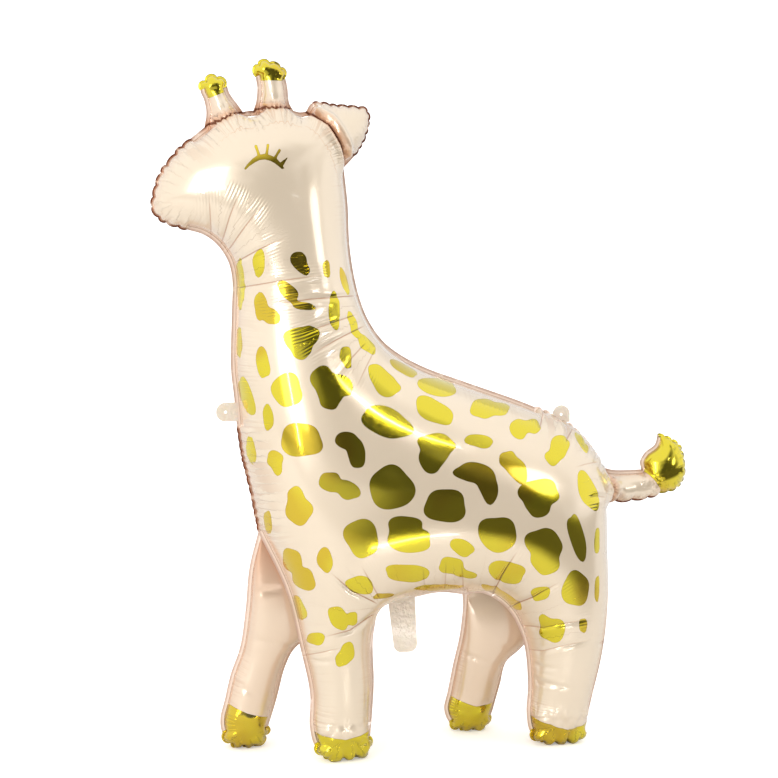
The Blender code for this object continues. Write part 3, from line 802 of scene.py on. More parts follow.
def beside(path, points):
    """Each point's signed distance across a path, and its share of the way along it."""
    path = np.array(path, dtype=float)[:, :2]
    lengths = spans(path)
    best = np.full(len(points), np.inf)
    across = np.zeros(len(points))
    share = np.zeros(len(points))
    start = 0.0
    for i, (a, b, length) in enumerate(zip(path[:-1], path[1:], lengths)):
        heading = (b - a) / length
        rel = points - a
        t = rel @ heading
        first = -np.inf if i == 0 else 0.0
        last = np.inf if i == len(lengths) - 1 else length
        clamped = np.clip(t, first, last)
        gap = np.linalg.norm(rel - clamped[:, None] * heading, axis=1)
        closer = gap < best
        best[closer] = gap[closer]
        sign = np.where(rel @ np.array([-heading[1], heading[0]]) < 0, -1.0, 1.0)
        across[closer] = (sign * gap)[closer]
        share[closer] = ((start + t) / lengths.sum())[closer]
        start += length
    return across, share


def groove(across, half_width):
    """Section of a groove with a soft swelling on either side: -1 at the bottom."""
    x = np.abs(across) / half_width
    return -np.exp(-x ** 1.4) + 0.16 * np.exp(-((x - 2.0) / 1.1) ** 2)


def pleats(notches, points, depth_scale, seed):
    """Grooves that run inwards from the notches between puckers."""
    relief = np.zeros(len(points))
    chance = random.Random(seed)
    # No two pleats run alike: each has its own turn, length, depth and width
    for x, z, in_x, in_z, pitch, reach in notches:
        turn = math.radians(chance.uniform(-14, 14))
        heading = np.array(turned(in_x, in_z, turn))
        length = pitch * reach * chance.uniform(0.7, 1.3)
        depth = depth_scale * pitch * chance.uniform(0.10, 0.17) * math.sqrt(1.5 / reach)
        half = pitch * chance.uniform(0.13, 0.19)
        rel = points - np.array([x, z])
        close = np.nonzero((np.abs(rel) < length + 4 * half).all(axis=1))[0]
        t = (rel[close] @ heading) / length
        across = rel[close] @ np.array([-heading[1], heading[0]])
        fade = np.clip(1 - t, 0.0, 1.0) ** 1.3
        relief[close] += depth * fade * groove(across, half * (1.15 - 0.55 * np.clip(t, 0, 1)))
    return relief


def buckled(points, pitch, seed):
    """Puffed cells with sharp creases between them, over the soles.

    It is 1 in a cell's middle, and 0 or less at its corners.
    """
    chance = random.Random(seed)
    gap = np.full(len(points), 1e9)
    for column in range(int(SOLE_SPAN[0] / pitch)):
        for row in range(int(SOLE_SPAN[1] / pitch) + 1):
            x = SOLE_START + (column + 0.5 * (row % 2) + chance.uniform(-0.25, 0.25)) * pitch
            z = (row + chance.uniform(-0.25, 0.25)) * pitch
            gap = np.minimum(gap, np.hypot(points[:, 0] - x, (points[:, 1] - z) * 0.75))
    return 1 - (gap / (0.7 * pitch)) ** 2


def pinched(rim_rows, pinches):
    """Notches at the pinches that lie on this stretch of weld."""
    rows = np.array(rim_rows)[:, :2]
    found = []
    for x, z, pitch in pinches:
        gaps = np.linalg.norm(rows - (x, z), axis=1)
        i = int(np.argmin(gaps))
        if gaps[i] < 12 and 0 < i < len(rows) - 1:
            along = rows[i + 1] - rows[i - 1]
            along /= np.linalg.norm(along)
            found.append((rows[i][0], rows[i][1], -along[1], along[0], pitch, 2.4))
    return found


def gathering(rim_rows, travel):
    """How strongly the film gathers at each place along the weld.

    It is 1 where the weld is puckered or turns outwards.
    """
    rows = np.array(rim_rows)
    turn, _ = bends(rows[:, :2], 8)
    force = np.where(rows[:, 2] < SEAM_WIDTH, 1.0, np.clip(0.25 + turn * 4, 0.12, 1.0))
    for x, z, radius in GATHERED:
        # The horns stand above z = 938, and have no gathers of their own
        near = smooth(radius, radius * 0.8, np.hypot(rows[:, 0] - x, rows[:, 1] - z))
        force = np.maximum(force, near * (rows[:, 1] < 938))
    # The ear stays nearly smooth, and the nose gathers evenly
    force = np.where((rows[:, 0] > -180) & (rows[:, 1] > 870), 0.25, force)
    force = np.where((rows[:, 0] < -350) & (rows[:, 1] > 700), 0.6, force)
    window = np.ones(15) / 15
    force = np.convolve(np.concatenate([force[-7:], force, force[:7]]), window, 'valid')
    return np.interp(travel, travel[:len(rows)], force)


def scattered(rim_rows, spacing, seed):
    """Small pleats scattered along convex stretches of a weld that has no puckers."""
    rows = np.array(rim_rows)[:, :2]
    turn, after = bends(rows, 6)
    chance = random.Random(seed)
    found = []
    since = 0.0
    for i in range(len(rows) - 1):
        since += math.dist(rows[i], rows[i + 1])
        if since > spacing and turn[i] > 0.03 and rim_rows[i][2] == SEAM_WIDTH:
            along = after[i] / np.linalg.norm(after[i])
            found.append((rows[i][0], rows[i][1], -along[1], along[0],
                          chance.uniform(9, 19) * min(1.0, 0.4 + turn[i] * 3), 1.5))
            since = chance.uniform(-0.4, 0.3) * spacing
    return found


def lobed(pixel, spots):
    """How far each pixel is inside the nearest spot, in millimetres, negative outside."""
    best = np.full(len(pixel), NOT_GOLD)
    for number, lobes in enumerate(spots):
        chance = random.Random(number)
        centre = np.mean([lobe[:2] for lobe in lobes], axis=0)
        reach = max(lobe[2] for lobe in lobes) * 1.6 + 12
        close = np.nonzero((np.abs(pixel - centre) < reach).all(axis=1))[0]
        grown = np.full(len(close), -30.0)
        blend = SPOT_BLEND if len(lobes) > 1 else 0.01
        for x, y, half_length, half_width, tilt in lobes:
            rel = pixel[close] - (x, y)
            u, v = turned(rel[:, 0], rel[:, 1], -math.radians(tilt))
            u /= half_length
            v /= half_width
            angle = np.arctan2(v, u)
            wave = 1.0
            for size, times in ((0.05, 3), (0.04, 4), (0.02, 5)):
                wave = wave + size * np.cos(times * angle + chance.uniform(0, 6.3))
            radius = np.maximum((np.abs(u) ** 2.15 + np.abs(v) ** 2.15) ** (1 / 2.15), 1e-3)
            length = np.hypot(u * half_length, v * half_width)
            gap = np.clip(length * (wave / radius - 1), -30.0, half_width)
            share = np.clip(0.5 + 0.5 * (gap - grown) / blend, 0.0, 1.0)
            grown = grown * (1 - share) + gap * share + blend * share * (1 - share)
        best[close] = np.maximum(best[close], grown * PIXEL_SIZE)
    return best


def brushed(pixel, strokes):
    """How far each pixel is inside tapering strokes, in millimetres, negative outside."""
    best = np.full(len(pixel), NOT_GOLD)
    for stroke in strokes:
        widths = np.array([row[2] for row in stroke])
        lengths = spans(np.array(stroke)[:, :2])
        stations = np.concatenate([[0.0], np.cumsum(lengths)]) / lengths.sum()
        across, share = beside(stroke, pixel)
        half = np.interp(np.clip(share, 0, 1), stations, widths)
        beyond_end = np.maximum(np.maximum(-share, share - 1), 0) * lengths.sum()
        best = np.maximum(best, (half - np.hypot(across, beyond_end)) * PIXEL_SIZE)
    return best


def beyond(line, points):
    """How far each flat point lies to the left of a line of (x, z) points, by its heading."""
    line = np.array(line, dtype=float)
    lengths = spans(line)
    line[0] += (line[0] - line[1]) / lengths[0] * 30
    line[-1] += (line[-1] - line[-2]) / lengths[-1] * 30
    return beside(line, points)[0]


def gold_field(points, pixel, spots, hooves):
    """How far each point lies inside the gold print, in millimetres, negative outside."""
    gold = lobed(pixel, spots)
    # A line cuts the whole drawing, so each counts only round its own horn, tuft or hoof
    x, z = points[:, 0], points[:, 1]
    front = np.where((x < -285) & (z > 925), beyond(FRONT_HORN_LINE, points), NOT_GOLD)
    rear = np.where((np.abs(x + 235) < 40) & (z > 950), beyond(REAR_HORN_LINE, points), NOT_GOLD)
    tuft = np.where(x > 325, -beyond(TUFT_LINE, points), NOT_GOLD)
    gold = np.maximum.reduce([gold, front, rear, tuft])
    for name in hooves:
        line = HOOF_LINES[name]
        here = (z < 95) & (x > line[0][0] - 25) & (x < line[-1][0] + 25)
        gold = np.maximum(gold, np.where(here, -beyond(line, points), NOT_GOLD))
    return np.clip(gold, NOT_GOLD, -NOT_GOLD)


def normals(places, triangles):
    """Outward vertex normals."""
    a, b, c = (places[triangles[:, k]] for k in range(3))
    cross = np.cross(b - a, c - a)
    total = np.zeros_like(places)
    for k in range(3):
        for axis in range(3):
            total[:, axis] += np.bincount(triangles[:, k], cross[:, axis], len(places))
    return total / np.maximum(np.linalg.norm(total, axis=1), 1e-12)[:, None]


def press_folds(points, rise, relief, prints):
    """Press in the deep folds beside small limbs, and gather the film along them."""
    for number, (path, depth, roll) in enumerate(LIMB_FOLDS):
        across, share = beside(path, points)
        along = share * spans(path).sum()
        # A tight fold wanders more than one beside a rolled edge
        wobble, reach = (1.0, 8.0) if roll < 2 else (0.2, 1.0)
        across = across + wobble * (1.1 * np.sin(along * 0.75 + number)
                                    + 0.7 * np.sin(along * 1.7))
        fade = smooth(-0.2, 0.05, share) * smooth(1.2, 0.95, share)
        # The groove, a swelling on the body's side of it, and the roll on the limb's side
        section = -depth * np.exp(-(np.abs(across) / 3.4) ** 1.4)
        section += 0.5 * depth * np.exp(-((across + 8.5) / 5.5) ** 2)
        section += roll * np.exp(-((across - 9.0) / 6.0) ** 2)
        relief += section * fade * rise
        ours = (np.abs(across) < 25) & (fade > 0)
        # How strongly the tuck is painted with shade in the material
        prints["tuck"][ours] = fade[ours] * min(1.0, depth / 5)
        prints["tuck_gap"][ours] = across[ours]
        margin = np.minimum(prints["edge_gap"], np.where(across < 0, 44.0, reach))
        margin -= np.abs(across)
        ours = (margin > 0) & (fade > 0.3)
        prints["gather"] *= np.where(fade > 0.3, smooth(0.0, 4.0, -margin), 1.0)
        prints["gather"][ours] = (fade * smooth(0.0, 4.0, margin) * min(1.0, depth / 5))[ours]
        prints["gather_gap"][ours] = np.abs(across)[ours]
        prints["gather_along"][ours] = (along + 700 * number)[ours]


def press_creases(pixel, side, typical_depth, rise, relief, prints):
    """Press in the long creases, and note the ripples beside them.

    Halfway between two creases, the ripples of both die out.
    """
    second = np.full(len(pixel), FAR_AWAY)
    for path, depth, ripples in CREASES:
        if side > 0 and path[0][1] > FAR_CREASE_LIMIT:
            continue
        across, share = beside(path, pixel)
        across = across * PIXEL_SIZE
        fade = smooth(-0.12, 0.0, share) * smooth(1.08, 0.55, share)
        section = groove(across, CREASE_HALF_WIDTH)
        relief += depth * typical_depth / TYPICAL_CREASE * fade * section * rise
        wave = ripples * smooth(0.2, 0.6, share) * smooth(1.25, 0.95, share)
        wave = wave * smooth(30, 6, np.abs(across))
        across = np.where((share > -0.2) & (share < 1.4), across, FAR_AWAY)
        nearest = np.abs(prints["crease"])
        mine = np.abs(across) < nearest
        second = np.where(mine, nearest, np.minimum(second, np.abs(across)))
        prints["crease"][mine] = across[mine]
        # How strongly the crease is painted with shade and pressed into the bump
        prints["crease_force"][mine] = (fade * depth / 2)[mine]
        prints["ripple"][mine] = wave[mine]
    prints["ripple"] *= smooth(1.0, 12.0, second - np.abs(prints["crease"]))


def dressed_sheet(rim, fold, side, steps, middle, hooves, settings, eye=None, seed=0):
    """One finished sheet: its places in metres, its triangles and its print."""
    is_gusset = len(fold) > 0
    flat = sheet(rim.rows, fold, steps, eye, seed)
    points, triangles, count, _, gaps, travel = flat
    spreads = [row[3] for row in rim.rows] + [0.0] * len(fold)
    y, slack = raised(flat, spreads, side, is_gusset)
    if (side > 0) != is_gusset:
        triangles = triangles[:, ::-1]
    places = np.stack([points[:, 0] - middle, y, points[:, 1]], axis=1) * SCALE
    # The far side takes its creases and spots from the near side, as its mirror image
    pixel = seen(places if is_gusset else places * (1, -side, 1))
    stations = travel[:len(rim.rows)]
    seam = np.interp(travel, stations, [row[2] for row in rim.rows])
    rise = smooth(0.0, 5.0, gaps - seam)
    # Pleats from the notches between puckers, from single pinches, and small ones between
    relief = pleats(rim.notches, points, 1.0, seed) * rise
    relief += pleats(pinched(rim.rows, PINCHES), points, 1.2, seed) * rise
    relief += pleats(scattered(rim.rows, 8.0, seed), points, 0.14, seed + 50) * rise
    sole = np.nonzero(points[:, 1] < SOLE_TOP)[0]
    low = (smooth(70, 40, points[:, 1]) * rise)[sole]
    relief[sole] += SOLE_BUCKLE * buckled(points[sole], SOLE_CELL, seed) * low
    for x, z, radius, height in rim.bulbs:
        gap = np.hypot(points[:, 0] - x, points[:, 1] - z) / radius
        relief += height * np.clip(1 - gap ** 2, 0.0, 1.0) ** 1.5 * rise
    # Towards the middle of a limb the gathers die out, before they meet its other edge's
    half_width = (y * y + gaps * gaps) / (2 * np.maximum(gaps, 1e-3))
    inwards = gaps / np.maximum(half_width, 1e-3)
    prints = {
        "edge_gap": gaps,
        "weld_gap": gaps - seam,
        "brown": np.interp(travel, stations, [row[4] for row in rim.rows]),
        "crease": np.full(len(points), FAR_AWAY),
        "crease_force": np.zeros(len(points)),
        "ripple": np.zeros(len(points)),
        "tuck": np.zeros(len(points)),
        "tuck_gap": np.full(len(points), 30.0),
        "gather": gathering(rim.rows, travel) * smooth(0.95, 0.4, inwards),
        "gather_gap": gaps.copy(),
        "gather_along": travel.copy(),
        "inner": np.full(len(points), float(is_gusset)),
    }
    press_folds(points, rise, relief, prints)
    if not is_gusset:
        press_creases(pixel, side, settings.crease_depth, rise, relief, prints)
    relief *= slack * 0.6 + 0.4
    relief[:count] = 0.0
    # The points on the border stay, so that the sheets meet there
    moved = places + normals(places, triangles) * (relief * SCALE)[:, None]
    moved[:count] = places[:count]
    spots = SPOTS if side < 0 else FAR_SPOTS
    gold = gold_field(points, pixel, [] if is_gusset else spots, hooves)
    gold = np.where(seam > 4, np.minimum(gold, (gaps - seam) * 0.5), gold)
    if not is_gusset:
        gold = np.maximum(gold, brushed(pixel, [EYE_LINE] + LASHES))
    prints["gold"] = gold
    return moved, triangles, prints


def joined(sheets, name, material):
    """One closed mesh from the sheets: welded along their borders and flat under the soles."""
    bm = bmesh.new()
    layers = {key: bm.verts.layers.float.new(key) for key in sheets[0][2]}
    for places, triangles, prints in sheets:
        verts = [bm.verts.new(place) for place in places]
        for key, layer in layers.items():
            for vert, value in zip(verts, prints[key]):
                vert[layer] = value
        for a, b, c in triangles:
            bm.faces.new((verts[a], verts[b], verts[c]))
    bmesh.ops.remove_doubles(bm, verts=bm.verts, dist=1e-6)
    everything = bm.verts[:] + bm.edges[:] + bm.faces[:]
    bmesh.ops.bisect_plane(bm, geom=everything, dist=1e-6, plane_co=(0, 0, 0), plane_no=(0, 0, 1),
                           clear_inner=True)
    soles = [edge for edge in bm.edges if edge.is_boundary]
    bmesh.ops.holes_fill(bm, edges=soles, sides=0)
    bmesh.ops.triangulate(bm, faces=bm.faces)
    piece = smooth_piece(bm, name, material)
    piece.data.set_sharp_from_angle(angle=math.radians(70))
    return piece


# Materials

# Settings that many nodes share
TIMES = {"operation": 'MULTIPLY'}
TIMES_PLUS = {"operation": 'MULTIPLY_ADD'}
PLUS = {"operation": 'ADD'}
LESS = {"operation": 'SUBTRACT'}
LARGER = {"operation": 'MAXIMUM'}
SIZE = {"operation": 'ABSOLUTE'}
EASED = {"interpolation_type": 'SMOOTHSTEP'}
COLOURS = {"data_type": 'RGBA'}


def add(tree, kind, inputs=(), out=None, **settings):
    """Add a node with its settings, fill or link its inputs, and give one of its outputs.

    The inputs are a dictionary by name, or a list for the sockets in use, in their order.
    """
    node = tree.nodes.new('ShaderNode' + kind)
    for key, value in settings.items():
        setattr(node, key, value)
    if isinstance(inputs, dict):
        pairs = [(node.inputs[key], value) for key, value in inputs.items()]
    else:
        pairs = zip([socket for socket in node.inputs if socket.enabled], inputs)
    for socket, value in pairs:
        if isinstance(value, bpy.types.NodeSocket):
            tree.links.new(value, socket)
        else:
            socket.default_value = value
    if out:
        return node.outputs[out]
    return next((socket for socket in node.outputs if socket.enabled), None)


def blank_material(name):
    """A material, and its empty node tree."""
    material = bpy.data.materials.new(name)
    material.use_nodes = True
    material.node_tree.nodes.clear()
    return material, material.node_tree


def printed_foil(settings, fields):
    """Metallised nylon film with pearl ink and bare, gold-lacquered mirror spots.

    Pearl ink lies over the metal, so it glows softly and still mirrors lamps; the
    gold is the metal itself under a clear yellow lacquer. Shade in its creases, tucks
    and gathers, between the legs and along its edges is painted into its colour.
    """
    material, tree = blank_material("printed_metallised_film")
    put = partial(add, tree)
    field = {name: put('Attribute', attribute_name=name, out="Fac") for name in fields}
    place = put('TexCoord', out="Object")
    height_up = put('SeparateXYZ', [place], out="Z")
    gold_gap, edge_gap, weld_gap = field["gold"], field["edge_gap"], field["weld_gap"]
    gold = put('MapRange', [gold_gap, -0.16, 0.16])

    # Lines painted darker as shade in creases, tucks and edges, and a darker line along the weld
    tuck_gap = put('Math', [field["tuck_gap"]], **SIZE)
    # A tuck's bottom is painted dark brown, and its sides paler brown, as shade
    tuck = put('MapRange', [tuck_gap, 0.6, 2.8, 1.0, 0.0], **EASED)
    tuck = put('Math', [tuck, field["tuck"]], **TIMES)
    painted_tuck_shade = put('MapRange', [tuck_gap, 1.0, 13.0, 0.6, 0.0], **EASED)
    painted_tuck_shade = put('Math', [painted_tuck_shade, field["tuck"]], **TIMES)
    # A crease is painted as a thin brown line, as shade, and the line deepens the bump too
    hair = put('Math', [field["crease"]], **SIZE)
    hair = put('MapRange', [hair, 0.0, 1.6, 1.0, 0.0], **EASED)
    hair = put('Math', [hair, field["crease_force"]], **TIMES)
    flange = put('MapRange', [weld_gap, -0.8, 0.0, 1.0, 0.0], **EASED)
    weld_line = put('Math', [weld_gap], **SIZE)
    weld_line = put('MapRange', [weld_line, 0.2, 1.1, 0.27, 0.0], **EASED)
    patchy = put('Math', [field["gather_along"], 0.075], **TIMES)
    patchy = put('TexNoise', [put('CombineXYZ', [patchy]), 1.0])
    patchy = put('MapRange', [patchy, 0.36, 0.5, 0.15, 1.0], **EASED)
    # The film's edges are painted dark brown and warm orange in patches, as shade and reflection
    brown_edge_shade = put('MapRange', [edge_gap, 1.3, 3.4, 1.0, 0.0], **EASED)
    warm_edge_shade = put('MapRange', [edge_gap, 1.0, 4.8, 0.7, 0.0], **EASED)
    brown_edge_shade, warm_edge_shade = (put('Math', [edge, field["brown"]], **TIMES)
                             for edge in (brown_edge_shade, warm_edge_shade))
    brown_edge_shade = put('Math', [brown_edge_shade, patchy], **TIMES)
    # Fine gathers run in from a weld or a tuck, about 4 mm apart
    gathers = put('CombineXYZ', [put('Math', [field["gather_along"], 0.24], **TIMES),
                                 put('Math', [field["gather_gap"], 0.016], **TIMES)])
    gathers = put('TexNoise', [gathers, 1.0, 1.5])
    gathers = put('MapRange', [gathers, 0.34, 0.66], **EASED)
    reached = put('MapRange', [field["gather_gap"], GATHER_REACH, 3.0, 0.0, 1.0], **EASED)
    reached = put('Math', [reached, field["gather"]], **TIMES)
    reached = put('Math', [reached, put('Math', [1.0, flange], **LESS)], **TIMES)
    # The furrows between the gathers are painted darker, as shade
    painted_furrow_shade = put('MapRange', [gathers, 0.35, 0.0], **EASED)
    painted_furrow_shade = put('Math', [painted_furrow_shade, reached], **TIMES)

    # The pearl ink is faintly cloudy, over about 110 mm. Over it lie the peach of the inner
    # sheets, the weld's colour and a darker line along the weld, and painted shade between
    # the legs, beside the weld, in tucks, gathers and creases, and along the edges
    pearl = put('Mix', [put('TexNoise', [place, 9.0, 2.0]), (*settings.pearl_shade, 1),
                        (*settings.pearl_colour, 1)], **COLOURS)
    # The inner leg sheets are painted orange-brown towards the belly, as shade between the legs
    painted_inner_leg_shade = put('MapRange', [height_up, 0.20, 0.32, 0.0, 0.45], **EASED)
    # Beside the weld the pearl is painted warmer and darker, as shade
    painted_weld_shade = put('MapRange', [weld_gap, 0.0, 9.0, 0.26, 0.0], **EASED)
    for share, strength, tint in (
            (field["inner"], 0.7, settings.peach_colour),
            (field["inner"], painted_inner_leg_shade, linear("#D8782C")),
            (painted_weld_shade, 1.0, linear("#D09A70")),
            (flange, 1.0, settings.flange_colour),
            (weld_line, 1.0, linear("#B07A52")),
            (painted_tuck_shade, 1.0, linear("#D08340")),
            (painted_furrow_shade, 0.4, linear("#B88660")),
            (warm_edge_shade, patchy, linear("#D07A34")),
            (brown_edge_shade, 0.95, linear("#6E2A04")),
            (hair, 0.75, linear("#B27C55")),
            (tuck, 0.9, linear("#6A2C0A"))):
        share = put('Math', [share, strength], **TIMES)
        pearl = put('Mix', [share, pearl, (*tint, 1)], **COLOURS)
    # The lacquer's thickness drifts over about 125 mm, from spot to spot, so the gold
    # turns lemon or amber. The gold is darkest at a spot's edge, and it is painted darker
    # in a crease as shade
    lacquer = put('TexNoise', [place, 8.0, 1.0])
    lacquer = put('MapRange', [lacquer, 0.50, 0.64, 0.0, 0.48], **EASED)
    gilt = put('Mix', [lacquer, (*settings.gold_colour, 1), (*settings.amber_colour, 1)],
               **COLOURS)
    # In a crease the gold is painted darker too, as shade
    painted_crease_shade = put('Math', [hair, 0.7], **TIMES)
    spot_edge = put('MapRange', [gold_gap, 0.1, 1.0, 0.45, 0.0], **EASED)
    for share, tint in ((painted_crease_shade, "#6B4410"), (spot_edge, "#7A5A12")):
        gilt = put('Mix', [share, gilt, (*linear(tint), 1)], **COLOURS)
    colour = put('Mix', [gold, pearl, gilt], **COLOURS)

    # Where edges and tucks are painted brown as shade, the film is also bare and dull metal
    dull = put('Math', [put('Math', [brown_edge_shade, warm_edge_shade], **LARGER), tuck], **LARGER)
    metallic = put('Math', [gold, put('MapRange', [flange, 0.0, 1.0, 0.35, 0.02])], **LARGER)
    metallic = put('Math', [metallic, put('Math', [dull, 0.85], **TIMES)], **LARGER)
    roughness = put('MapRange', [gold, 0.0, 1.0, 0.22, 0.13])
    roughness = put('Math', [dull, 0.25, roughness], **TIMES_PLUS)
    coat = put('Math', [put('MapRange', [gold, 0.0, 1.0, 1.0, 0.5]),
                        put('Math', [1.0, dull], **LESS)], **TIMES)

    gathers = put('Math', [gathers, put('Math', [reached, 0.85], **TIMES)], **TIMES)
    # Ripples stand beside a long crease, and a slow noise bends them
    phase = put('Math', [field["crease"], 2 * math.pi / RIPPLE_PITCH], **TIMES)
    phase = put('Math', [phase, put('Math', [put('TexNoise', [place, 30.0, 0.0]), 5.0], **TIMES)],
                **PLUS)
    ripples = put('Math', [put('Math', [phase], operation='SINE'),
                           put('Math', [field["ripple"], 0.17], **TIMES)], **TIMES)
    # The film is never quite flat: faint dimples 30 mm across
    dimples = put('Math', [put('TexNoise', [place, 20.0, 2.0]), 0.34], **TIMES)
    # Over a sole the film buckles into facets about 20 mm across
    facets = put('Math', [gold, put('MapRange', [height_up, 0.080, 0.03, 0.0, 6.0], **EASED)],
                 **TIMES)
    facets = put('Math', [put('TexNoise', [place, 42.0, 0.0]), facets], **TIMES)
    height = put('Math', [gathers, ripples], **PLUS)
    height = put('Math', [height, put('Math', [dimples, facets], **PLUS)], **PLUS)
    height = put('Math', [height, put('Math', [hair, 0.5], **TIMES)], **LESS)
    bump = put('Bump', {"Strength": 1.0, "Distance": 0.001, "Height": height})
    shader = put('BsdfPrincipled', {
        "Base Color": colour, "Metallic": metallic, "Roughness": roughness,
        "Coat Weight": coat, "Coat Roughness": 0.07, "Coat IOR": 1.75, "Normal": bump})
    put('OutputMaterial', {"Surface": shader})
    return material


def welded_film(settings):
    """Two clear-varnished films pressed together: thin, a little translucent and crinkled."""
    material, tree = blank_material("welded_film")
    put = partial(add, tree)
    place = put('TexCoord', out="Object")
    # The tint drifts over about 17 mm, and the crinkles stand 7 mm apart
    colour = put('Mix', [put('TexNoise', [place, 60.0, 2.0]), (*settings.flange_colour, 1),
                         (*settings.pearl_colour, 1)], **COLOURS)
    crinkle = put('TexNoise', [place, 150.0, 3.0])
    bump = put('Bump', {"Strength": 1.0, "Distance": 0.0022, "Height": crinkle})
    shader = put('BsdfPrincipled', {
        "Base Color": colour, "Metallic": 0.15, "Roughness": 0.25, "Subsurface Weight": 0.3,
        "Coat Weight": 0.8, "Coat Roughness": 0.1, "Normal": bump})
    put('OutputMaterial', {"Surface": shader})
    return material


def matte_floor(settings):
    """Matt studio paper, with a faint unevenness in its coat.

    In front of the balloon and to its right the paper is painted dark where the foil
    mirrors it, as painted shade of a floor outside the lamps' reach. Behind the balloon
    it is painted warm where the foil mirrors it, as a painted reflection. It also throws
    a little less soft light back at the balloon than the camera sees on it.
    """
    material, tree = blank_material("studio_paper")
    put = partial(add, tree)
    place = put('TexCoord', out="Object")
    camera, glossy, diffuse = (put('LightPath', out=f"Is {kind} Ray")
                               for kind in ("Camera", "Glossy", "Diffuse"))
    # For the foil's reflections, the paper in front is painted dark, as painted shade
    shade = glossy
    for azimuth, *reach in DARK_FLOOR:
        along = put('VectorMath', [place, direction(azimuth)], operation='DOT_PRODUCT')
        shade = put('Math', [shade, put('MapRange', [along, *reach], **EASED)], **TIMES)
    shade = put('Math', [diffuse, 0.22, shade], **TIMES_PLUS)
    # For the foil's reflections, a round of paper behind is painted warm, as a painted reflection
    behind = put('VectorMath', [place, WARM_CENTRE], operation='DISTANCE')
    behind = put('MapRange', [behind, WARM_EDGE, WARM_CORE, 0.0, 0.6], **EASED)
    behind = put('Math', [behind, glossy], **TIMES)
    lighter = tuple(min(1.0, c * 1.02) for c in settings.floor_colour)
    paper = put('Mix', [put('TexNoise', [place, 3.0, 2.0]), (*settings.floor_colour, 1),
                        (*lighter, 1)], **COLOURS)
    for share, tint in ((shade, "#2A2620"), (behind, "#CDA57C")):
        paper = put('Mix', [share, paper, (*linear(tint), 1)], **COLOURS)
    glow = put('Math', [camera, 0.35], **TIMES)
    shader = put('BsdfPrincipled', {
        "Base Color": paper, "Roughness": 0.85, "Specular IOR Level": 0.2,
        "Emission Color": paper, "Emission Strength": glow})
    put('OutputMaterial', {"Surface": shader})
    return material


# Flat tabs


def arc(centre, radius, start, end, parts):
    """Points on an arc, both ends included, with angles in degrees."""
    points = []
    for k in range(parts + 1):
        angle = math.radians(start + (end - start) * k / parts)
        points.append((centre[0] + radius * math.cos(angle), centre[1] + radius * math.sin(angle)))
    return points


def film_slab(name, shapes, thickness, material):
    """A flat piece of welded film in the XZ plane from closed outlines; a second one is a hole."""
    curve = bpy.data.curves.new(name, 'CURVE')
    curve.dimensions = '2D'
    curve.fill_mode = 'BOTH'
    curve.extrude = thickness / 2
    for shape in shapes:
        line = curve.splines.new('POLY')
        line.points.add(len(shape) - 1)
        for point, (x, z) in zip(line.points, shape):
            point.co = (x, z, 0.0, 1.0)
        line.use_cyclic_u = True
    drawn = stand(name + "_curve", curve)
    bpy.context.view_layer.update()
    graph = bpy.context.evaluated_depsgraph_get()
    mesh = bpy.data.meshes.new_from_object(drawn.evaluated_get(graph))
    bpy.data.objects.remove(drawn)
    bm = bmesh.new()
    bm.from_mesh(mesh)
    bmesh.ops.remove_doubles(bm, verts=bm.verts, dist=1e-6)
    bm.transform(Matrix.Rotation(math.pi / 2, 4, 'X'))
    bmesh.ops.recalc_face_normals(bm, faces=bm.faces)
    bm.to_mesh(mesh)
    bm.free()
    mesh.name = name
    mesh.materials.clear()
    mesh.materials.append(material)
    return stand(name, mesh)


def edge_at(rows, middle, place):
    """The weld's point nearest to a drawn place, in metres."""
    nearest = min(rows, key=lambda row: math.dist(place, row[:2]))
    return (nearest[0] - middle) * SCALE, nearest[1] * SCALE


def outline_middle(upper):
    """The drawn x that stands over the frame's origin."""
    across = [row[0] for row in upper.rows]
    return (min(across) + max(across)) / 2


# Values that a user may change

def colour_property(name, description, hex_colour):
    """A colour that a user may change."""
    return FloatVectorProperty(name=name, description=description, subtype='COLOR',
                               min=0.0, max=1.0, default=linear(hex_colour))


def length_property(name, description, default, low, high):
    """A length that a user may change, in metres."""
    return FloatProperty(name=name, description=description, default=default,
                         min=low, max=high, subtype='DISTANCE', unit='LENGTH')


def power_property(name, description, default, high=500.0):
    """A lamp's power that a user may change, in watts."""
    return FloatProperty(name=name, description=description, default=default,
                         min=0.0, max=high, unit='POWER')


class BalloonSettings(bpy.types.PropertyGroup):
    """Colours and relief of the balloon."""
    pearl_colour: colour_property("Pearl", "Lighter colour of the pearl print", "#E9D7BF")
    pearl_shade: colour_property("Pearl shade", "Darker colour of the pearl print", "#E1CFB5")
    peach_colour: colour_property("Peach", "Colour of the inner leg sheets", "#E8CDB2")
    flange_colour: colour_property("Weld", "Colour of the welded rim and the tabs", "#F5DFCD")
    gold_colour: colour_property("Gold", "Colour of the gold mirror print", "#E2D02A")
    amber_colour: colour_property(
        "Amber", "Colour of the gold print where its lacquer is thick", "#C9981A")
    crease_depth: length_property("Crease depth", "Depth of a typical long crease",
                                  TYPICAL_CREASE, 0.0, 0.01)
    tab_width: length_property("Tab width", "Width of the two eyelet tabs", 0.027, 0.01, 0.05)
    eyelet_diameter: length_property("Eyelet", "Diameter of the string eyelets",
                                     0.0046, 0.002, 0.01)
    neck_length: length_property("Filling neck", "Length of the filling neck below the belly",
                                 0.079, 0.03, 0.12)


